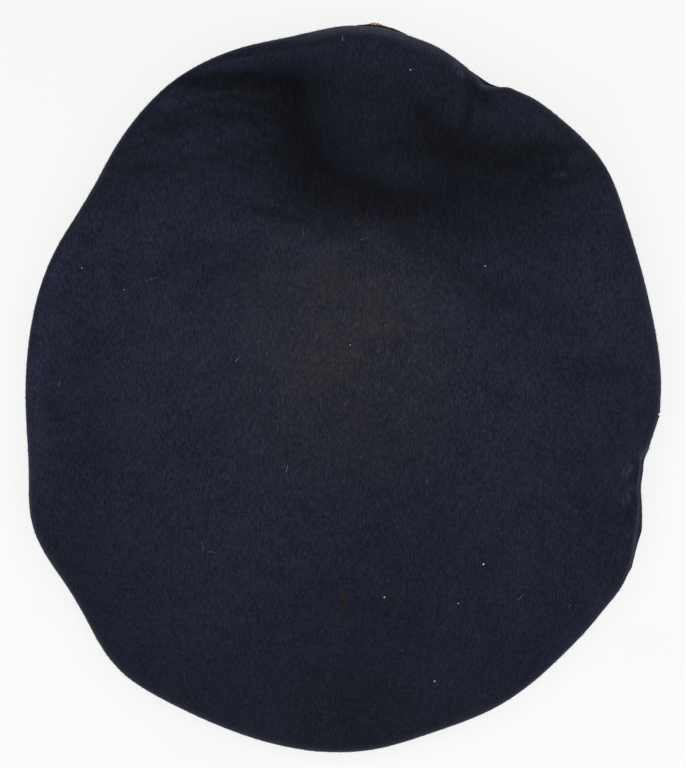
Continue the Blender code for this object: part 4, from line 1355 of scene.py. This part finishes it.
leaves, berries = [], []
for side in (-1, 1):
    for number in range(WREATH_LEAVES):
        turn = (number + 0.75) / (WREATH_LEAVES + 0.5)
        taper = 1 - LEAF_TAPER * number / WREATH_LEAVES
        here, there = wreath_place(turn - 0.02, side), wreath_place(turn + 0.02, side)
        heading = math.atan2(there[1] - here[1], there[0] - here[0])
        for row in LEAF_FAN:
            across, along = wreath_place(turn - row.back, side, row.aside)
            size = Vector(LEAF_SIZE) * taper * row.size
            leaves.append(badge_frame(across, along, METAL_SEAT + row.proud, heading - side * row.fan, size))
        for aside in (-BERRY_ASIDE, BERRY_ASIDE):
            across, along = wreath_place(turn + BERRY_AHEAD, side, aside * taper)
            size = Vector((1, 1, 1)) * BERRY * taper
            berries.append(badge_frame(across, along, METAL_SEAT + BERRY_SEAT, 0, size))


def badge_rope(path, thickness, closed=True):
    """A round wire along places on the badge, given as across, along and out."""
    curve = bpy.data.curves.new("wire", "CURVE")
    curve.dimensions = "3D"
    curve.bevel_depth = thickness / 2
    curve.bevel_resolution = 3
    curve.use_fill_caps = True
    line = curve.splines.new("POLY")
    line.points.add(len(path) - 1)
    for point, place in zip(line.points, path):
        point.co = (*(from_cap @ badge_place(*place)), 1)
    line.use_cyclic_u = closed
    wire = bpy.data.objects.new("wire", curve)
    bpy.context.scene.collection.objects.link(wire)
    body = bmesh.new()
    body.from_mesh(wire.evaluated_get(bpy.context.evaluated_depsgraph_get()).to_mesh())
    bpy.data.objects.remove(wire)
    bpy.data.curves.remove(curve)
    bmesh.ops.remove_doubles(body, verts=body.verts, dist=WELD)
    return body


stems = []
for side in (-1, 1):
    turns = [0.02 + 0.93 * step / STEM_STEPS for step in range(STEM_STEPS + 1)]
    path = [(*wreath_place(turn, side), METAL_SEAT + STEM_SEAT) for turn in turns]
    stems.append(badge_rope(path, STEM_WIRE, closed=False))

# %% [markdown]
# The loop at the top is what the photo shows of the badge: a pale gilt arc with dark gaps. It is a ring of
# two wires that twist round each other, so light and shade alternate along it.

# %% Twist the loop
LOOP_TWISTS = 11
TWIST_SIDES = 16
CORE_SIDES = 48
CORE_WIRE = 0.8 * MM
CORE_SEAT = METAL_SEAT + 0.4 * MM
loop_mean = (LOOP_WIDTH - LOOP_WIRE) / 2
loop_middle = BADGE_HEIGHT - LOOP_INSET - LOOP_WIDTH / 2


def twisted_ring(middle, half_width, half_height, wire, twists, proud):
    """Two wires twisted into a ring on the badge."""
    strands = []
    for strand in (0, math.pi):
        path = []
        for step in range(TWIST_SIDES * twists):
            turn = math.tau * step / (TWIST_SIDES * twists)
            twist = twists * turn + strand
            aside = wire / 4 * math.cos(twist)
            path.append((
                (half_width + aside) * math.sin(turn), middle + (half_height + aside) * math.cos(turn),
                proud + wire / 4 * math.sin(twist)))
        strands.append(badge_rope(path, wire / 2))
    return strands


loop_strands = twisted_ring(
    loop_middle, loop_mean, loop_mean, LOOP_WIRE, LOOP_TWISTS, METAL_SEAT + LOOP_WIRE / 2)
core = loop_mean - LOOP_WIRE * 0.75
core_turns = [math.tau * step / CORE_SIDES for step in range(CORE_SIDES)]
core_path = [
    (core * math.sin(turn), loop_middle + core * math.cos(turn), CORE_SEAT) for turn in core_turns]
loop_strands.append(badge_rope(core_path, CORE_WIRE))

# %% [markdown]
# A ribbon knot ties the two branches at the foot. It is a rounded bar across the stems, with a short loop
# and an end to each side, all made from the leaf, which is scaled and turned.

# %% Tie the knot and finish the wreath
Lobe = namedtuple("Lobe", "across along proud angle size")
KNOT = (
    Lobe(0.0, 0.0, 1.7, 90, (5.6, 3.6, 3.2)),
    Lobe(-2.6, 1.1, 1.2, 155, (5.2, 3.6, 3.0)),
    Lobe(2.6, 1.1, 1.2, 25, (5.2, 3.6, 3.0)),
    Lobe(-2.4, -1.2, 0.9, 215, (5.4, 3.0, 2.6)),
    Lobe(2.4, -1.2, 0.9, -35, (5.4, 3.0, 2.6)),
)
knot_frames = [
    badge_frame(lobe.across * MM, wreath_foot + lobe.along * MM, METAL_SEAT + lobe.proud * MM,
                math.radians(lobe.angle), Vector(lobe.size) * MM)
    for lobe in KNOT
]
wreath_body = joined(
    [place_copies(leaf(), leaves), place_copies(bead(), berries), place_copies(leaf(), knot_frames)]
    + stems + loop_strands)
add_piece("badge_wreath_leaves", wreath_body, gilt, ["badge_wreath"])

# %% [markdown]
# Inside the wreath is a plain oval boss with a beaded border and low rays, which stand for any badge's
# device without being one. The dome is half a sphere that is pressed flat, and its rays are a gentle wave.

# %% Make the boss
BOSS_WIDTH = 12.5 * MM
BOSS_HEIGHT = 15.5 * MM
BOSS_RELIEF = 3.8 * MM
BOSS_RAYS = 24
BOSS_BEADS = 44
BOSS_BEAD = 0.95 * MM
RAY_RELIEF = 0.035
RAY_START = 0.35
RAY_RUN = 0.5
RING_RELIEF = 0.10
RING_PLACE = 0.32
RING_WIDTH = 0.05

boss_body = bmesh.new()
bmesh.ops.create_uvsphere(boss_body, u_segments=4 * BOSS_RAYS, v_segments=32, radius=1)
bmesh.ops.bisect_plane(
    boss_body, geom=boss_body.verts[:] + boss_body.edges[:] + boss_body.faces[:], plane_co=(0, 0, 0),
    plane_no=(0, 0, -1), clear_outer=True)
bmesh.ops.contextual_create(boss_body, geom=open_edges(boss_body))
for vertex in boss_body.verts:
    radius = min(math.hypot(vertex.co.x, vertex.co.y), 1)
    turn = math.atan2(vertex.co.y, vertex.co.x)
    along_ray = min(max((radius - RAY_START) / RAY_RUN, 0), 1)
    rays = RAY_RELIEF * math.cos(BOSS_RAYS * turn) * math.sin(math.pi * along_ray)
    ring = RING_RELIEF * math.exp(-((radius - RING_PLACE) / RING_WIDTH) ** 2)
    rise = max(vertex.co.z, 0) ** 0.9 * (1 + rays) + (ring if vertex.co.z > 0.05 else 0)
    across = vertex.co.x * (BOSS_WIDTH / 2 - BOSS_BEAD * 0.55)
    along = wreath_middle + vertex.co.y * (BOSS_HEIGHT / 2 - BOSS_BEAD * 0.55)
    vertex.co = from_cap @ badge_place(across, along, METAL_SEAT + rise * BOSS_RELIEF * 0.9)
bmesh.ops.recalc_face_normals(boss_body, faces=boss_body.faces)
bead_turns = [math.tau * number / BOSS_BEADS for number in range(BOSS_BEADS)]
bead_frames = [
    badge_frame(
        (BOSS_WIDTH - BOSS_BEAD) / 2 * math.cos(turn),
        wreath_middle + (BOSS_HEIGHT - BOSS_BEAD) / 2 * math.sin(turn),
        METAL_SEAT + BOSS_BEAD / 2, 0, Vector((1, 1, 1)) * BOSS_BEAD)
    for turn in bead_turns
]
boss_parts = joined([boss_body, place_copies(bead(), bead_frames)])
add_piece("badge_boss_dome", boss_parts, gilt, ["badge_boss"])

# %% [markdown]
# A brushed wool cap isn't sharp against a pale table: fine ends of wool stand off it. Thousands of them are
# one piece, made by copying a thin bent fibre to random places on the cloth. More of them stand where the
# cloth turns down at the rim, since only there do they show. The random numbers have a fixed seed.

# %% Grow the nap
NAP_FIBRES = 12000
NAP_SEED = 11
FIBRE_WIDTH = 0.03
RIM_SHARE = 6.0
RIM_FROM = 0.9
FIBRE_SUNK = 0.05 * MM
FIBRE_LENGTH = (0.7, 1.9)
NAP_LEAN = -0.8
LEAN_SPREAD = (0.5, 0.5, 0.3)
LEAN_OUT = 0.5


def fibre():
    """A thin bent fibre one unit long, which runs along X and lifts towards its tip."""
    body = bmesh.new()
    bmesh.ops.create_cone(
        body, cap_ends=True, segments=3, radius1=FIBRE_WIDTH, radius2=FIBRE_WIDTH * 0.35, depth=1)
    long_edges = [edge for edge in body.edges if edge.calc_length() > 0.5]
    bmesh.ops.subdivide_edges(body, edges=long_edges, cuts=1)
    bmesh.ops.triangulate(body, faces=body.faces)
    for vertex in body.verts:
        along = vertex.co.z + 0.5
        vertex.co = (along, vertex.co.x, vertex.co.y + 0.35 * along ** 2)
    bmesh.ops.recalc_face_normals(body, faces=body.faces)
    return body


def cloth_spots(pieces, count, rng):
    """Random places on cloth pieces with their outward ways, more of them where the cloth is steep."""
    corners = []
    for piece in pieces:
        mesh = piece.data
        mesh.calc_loop_triangles()
        places = np.array([into_cap @ vertex.co for vertex in mesh.vertices])
        triangles = np.array([triangle.vertices for triangle in mesh.loop_triangles])
        corners.append(places[triangles])
    corners = np.concatenate(corners)
    cross = np.cross(corners[:, 1] - corners[:, 0], corners[:, 2] - corners[:, 0])
    area = np.linalg.norm(cross, axis=1)
    outward = cross / np.maximum(area, 1e-12)[:, None]
    middle = corners.mean(axis=1)
    from_middle = np.hypot(
        middle[:, 0] / CROWN_HALF_WIDTH, (middle[:, 1] - CROWN_SETBACK) / CROWN_HALF_LENGTH)
    up = outward[:, 2]
    at_rim = np.where(up < 0.75, RIM_SHARE, 1)
    inside = np.where(up > 0.4, 1, 0)
    weight = area * np.where(up > -0.3, 1, 0) * np.where(from_middle > RIM_FROM, at_rim, inside)
    chosen = rng.choice(len(weight), size=count, p=weight / weight.sum())
    first, second = rng.random(count), rng.random(count)
    over = first + second > 1
    first, second = np.where(over, 1 - first, first), np.where(over, 1 - second, second)
    start = corners[chosen, 0]
    along_first = first[:, None] * (corners[chosen, 1] - start)
    along_second = second[:, None] * (corners[chosen, 2] - start)
    return start + along_first + along_second, outward[chosen]


rng = np.random.default_rng(NAP_SEED)
cloth_pieces = [crown, *quarters]
nap_frames = []
for place, outward in zip(*cloth_spots(cloth_pieces, NAP_FIBRES, rng)):
    outward = Vector(outward)
    lean_way = Vector([rng.normal(0, width) for width in LEAN_SPREAD]) + Vector((0, NAP_LEAN, 0))
    lean_way += outward * rng.uniform(0, LEAN_OUT)
    length = rng.uniform(*FIBRE_LENGTH) * MM
    root = Vector(place) - outward * FIBRE_SUNK
    nap_frames.append(frame_at(root, lean_way, outward, (length, MM, length)))

# %% [markdown]
# The photo also shows pale lint: a few crumbs and short hairs that lie on the cloth. Each is a row in a
# table, and many smaller ones are strewn at random. A ray from above finds the cloth under each of them.

# %% Strew the lint
Lint = namedtuple("Lint", "across along length width angle")
CRUMBS = (
    Lint(-0.406, -0.343, 0.55, 0.50, 20), Lint(-0.474, 0.456, 0.80, 0.55, 50),
    Lint(-0.180, 0.566, 0.70, 0.65, 0), Lint(-0.407, 0.565, 0.70, 0.60, 80),
    Lint(-0.356, 0.777, 0.90, 0.40, 60), Lint(0.848, -0.257, 0.45, 0.40, 0),
    Lint(0.706, -0.203, 0.50, 0.45, 0), Lint(-0.124, -0.839, 0.60, 0.45, 40),
    Lint(-0.012, -0.092, 0.50, 0.35, 90),
)
HAIRS = (
    Lint(0.641, -0.229, 5.0, 0.10, 15), Lint(0.149, 0.260, 2.6, 0.22, 80),
    Lint(0.383, 0.483, 3.4, 0.10, 100), Lint(0.370, 0.487, 3.6, 0.09, 5),
    Lint(-0.591, 0.542, 2.8, 0.12, 60), Lint(0.335, -0.022, 2.4, 0.20, 50),
    Lint(0.092, -0.903, 2.2, 0.16, 85), Lint(-0.015, -0.381, 3.6, 0.10, 25),
    Lint(-0.750, 0.551, 1.8, 0.12, 70), Lint(0.16, -0.38, 3.0, 0.10, 100),
    Lint(0.89, 0.07, 3.2, 0.11, 60), Lint(-0.28, 0.26, 1.8, 0.16, 90),
)
CRUMB_LIFT = 0.15 * MM
HAIR_LIFT = 0.1 * MM
STREWN = 330
STREWN_LIFT = 0.08 * MM
STREWN_REACH = 0.9
CLEAR_RIM = 0.93
crown_tree = BVHTree.FromPolygons(
    [vertex.co for vertex in crown.data.vertices], [face.vertices for face in crown.data.polygons])


def on_crown(across, along):
    """The place on the crown's cloth at two shares, and the cloth's outward way, in the cap's own frame."""
    plan = cap_plan(across, along)
    above = from_cap @ Vector((plan.x, plan.y, 4 * band_height))
    down = turn_out @ Vector((0, 0, -1))
    place, outward, _, _ = crown_tree.ray_cast(above, down)
    outward = turn_out.inverted() @ outward
    return into_cap @ place, outward if outward.z > 0 else -outward


def lint_frame(row, lift):
    """A matrix for one row of lint."""
    place, outward = on_crown(row.across, row.along)
    way = Vector((-math.cos(math.radians(row.angle)), -math.sin(math.radians(row.angle)), 0))
    size = Vector((row.length, row.width, row.width)) * MM
    return frame_at(place + outward * lift, way, outward, size)


crumb_frames = [lint_frame(row, CRUMB_LIFT) for row in CRUMBS]
hair_frames = [lint_frame(row._replace(width=row.width / (2 * FIBRE_WIDTH)), HAIR_LIFT) for row in HAIRS]
random.seed(NAP_SEED)
while len(hair_frames) < len(HAIRS) + STREWN:
    if len(hair_frames) % 2:
        across, along = random.gauss(-0.04, 0.22), random.gauss(-0.10, 0.26)
    else:
        across, along = (random.uniform(-STREWN_REACH, STREWN_REACH) for share in range(2))
    if math.hypot(across, along) < CLEAR_RIM:
        row = Lint(across, along, random.uniform(0.4, 1.3), random.uniform(0.3, 0.7), random.gauss(88, 28))
        hair_frames.append(lint_frame(row, STREWN_LIFT))


def make_fibre_finish(name, low, high, rough):
    """Loose fibres between two colours."""
    finish, tree, shader, place = new_finish(name)
    cloud = mottle(tree, place, 900.0, 0.3, 0.7)
    roughness = spread(tree, cloud, 0.0, 1.0, rough - 0.1, rough)
    dress(tree, shader, tint(tree, cloud, low, high), roughness, Specular_IOR_Level=0.2)
    return finish


NAP_LOW = (0.016, 0.020, 0.036, 1)
NAP_HIGH = (0.060, 0.070, 0.110, 1)
LINT_LOW = (0.16, 0.16, 0.17, 1)
LINT_HIGH = (0.55, 0.54, 0.50, 1)
nap_finish = make_fibre_finish("nap_wool", NAP_LOW, NAP_HIGH, 0.95)
lint_finish = make_fibre_finish("pale_lint", LINT_LOW, LINT_HIGH, 0.9)
add_piece("nap_fibres", place_copies(fibre(), nap_frames), nap_finish)
lint_body = joined([place_copies(bead(), crumb_frames), place_copies(fibre(), hair_frames)])
add_piece("lint", lint_body, lint_finish)

# %% [markdown]
# The top and the quarters are soft cloth: the top is cut as an oval a little larger than the crown, and each
# quarter as a bent strip that is longer at the crown's edge. This cell only prints how many such pieces there
# are.

print("cloth pieces with stated cuts:", 1 + len(quarters))

# %% [markdown]
# The table is a sheet of white acrylic whose finish glows a little, though it is no lamp: painted light that
# washes out the shadow beside the cap. A soft light hangs where the cap is seen from, a second one fills from
# the front, and a pale world lights the rest, as in a plain studio.

# %% Table, lights and camera
TABLE_COLOUR = (0.18, 0.18, 0.18, 1)
TABLE_CLOUD = (0.16, 0.16, 0.16, 1)
# The table's glow is painted light that lifts the floor's shade.
TABLE_GLOW = 0.73
TABLE_SIZE = 6.0
WORLD_COLOUR = (0.93, 0.96, 1.0, 1)
WORLD_STRENGTH = 0.32
LIT_POINT = (0, 0, 0.05)


def add_table():
    """The glowing table that the cap lies on."""
    body = bmesh.new()
    bmesh.ops.create_grid(body, x_segments=1, y_segments=1, size=TABLE_SIZE / 2)
    mesh = bpy.data.meshes.new("table")
    body.to_mesh(mesh)
    body.free()
    finish, tree, shader, place = new_finish("pale_table")
    cloud = mottle(tree, place, 2.0, 0.3, 0.7)
    tree.links.new(tint(tree, cloud, TABLE_COLOUR, TABLE_CLOUD), shader.inputs["Base Color"])
    set_sockets(
        shader, Roughness=0.7, Specular_IOR_Level=0.2, Emission_Color=(1, 1, 1, 1),
        Emission_Strength=TABLE_GLOW)
    mesh.materials.append(finish)
    table = bpy.data.objects.new("table", mesh)
    bpy.context.scene.collection.objects.link(table)


def add_softbox(name, place, aim, size, power, colour):
    """A square soft light at a place, turned towards a point."""
    lamp = bpy.data.lights.new(name, "AREA")
    lamp.shape = "SQUARE"
    lamp.size = size
    lamp.energy = power
    lamp.color = colour
    light = bpy.data.objects.new(name, lamp)
    bpy.context.scene.collection.objects.link(light)
    light.location = place
    light.rotation_euler = (Vector(aim) - Vector(place)).to_track_quat("-Z", "Y").to_euler()


def add_camera(azimuth, elevation, distance, target, lens):
    """A camera on a sphere round a target, looking at it."""
    around, up = math.radians(azimuth), math.radians(elevation)
    back = Vector((math.sin(around) * math.cos(up), -math.cos(around) * math.cos(up), math.sin(up)))
    camera_data = bpy.data.cameras.new("camera")
    camera_data.lens = lens
    camera = bpy.data.objects.new("camera", camera_data)
    bpy.context.scene.collection.objects.link(camera)
    camera.location = Vector(target) + back * distance
    camera.rotation_mode = "QUATERNION"
    camera.rotation_quaternion = (-back).to_track_quat("-Z", "Y")
    bpy.context.scene.camera = camera


add_table()
add_softbox("overhead", (-0.03, 0.34, 1.42), LIT_POINT, size=0.6, power=22.0, colour=(1.0, 0.99, 0.98))
add_softbox("fill", (-0.6, -1.2, 0.9), LIT_POINT, size=1.0, power=3.0, colour=(0.95, 0.97, 1.0))
world = bpy.data.worlds.new("studio")
world.use_nodes = True
set_sockets(world.node_tree.nodes["Background"], Color=WORLD_COLOUR, Strength=WORLD_STRENGTH)
bpy.context.scene.world = world
bpy.context.scene.view_settings.view_transform = "Standard"
add_camera(azimuth=184.95, elevation=76.64, distance=0.8416, target=(0, 0.0129, 0.07), lens=100.0)
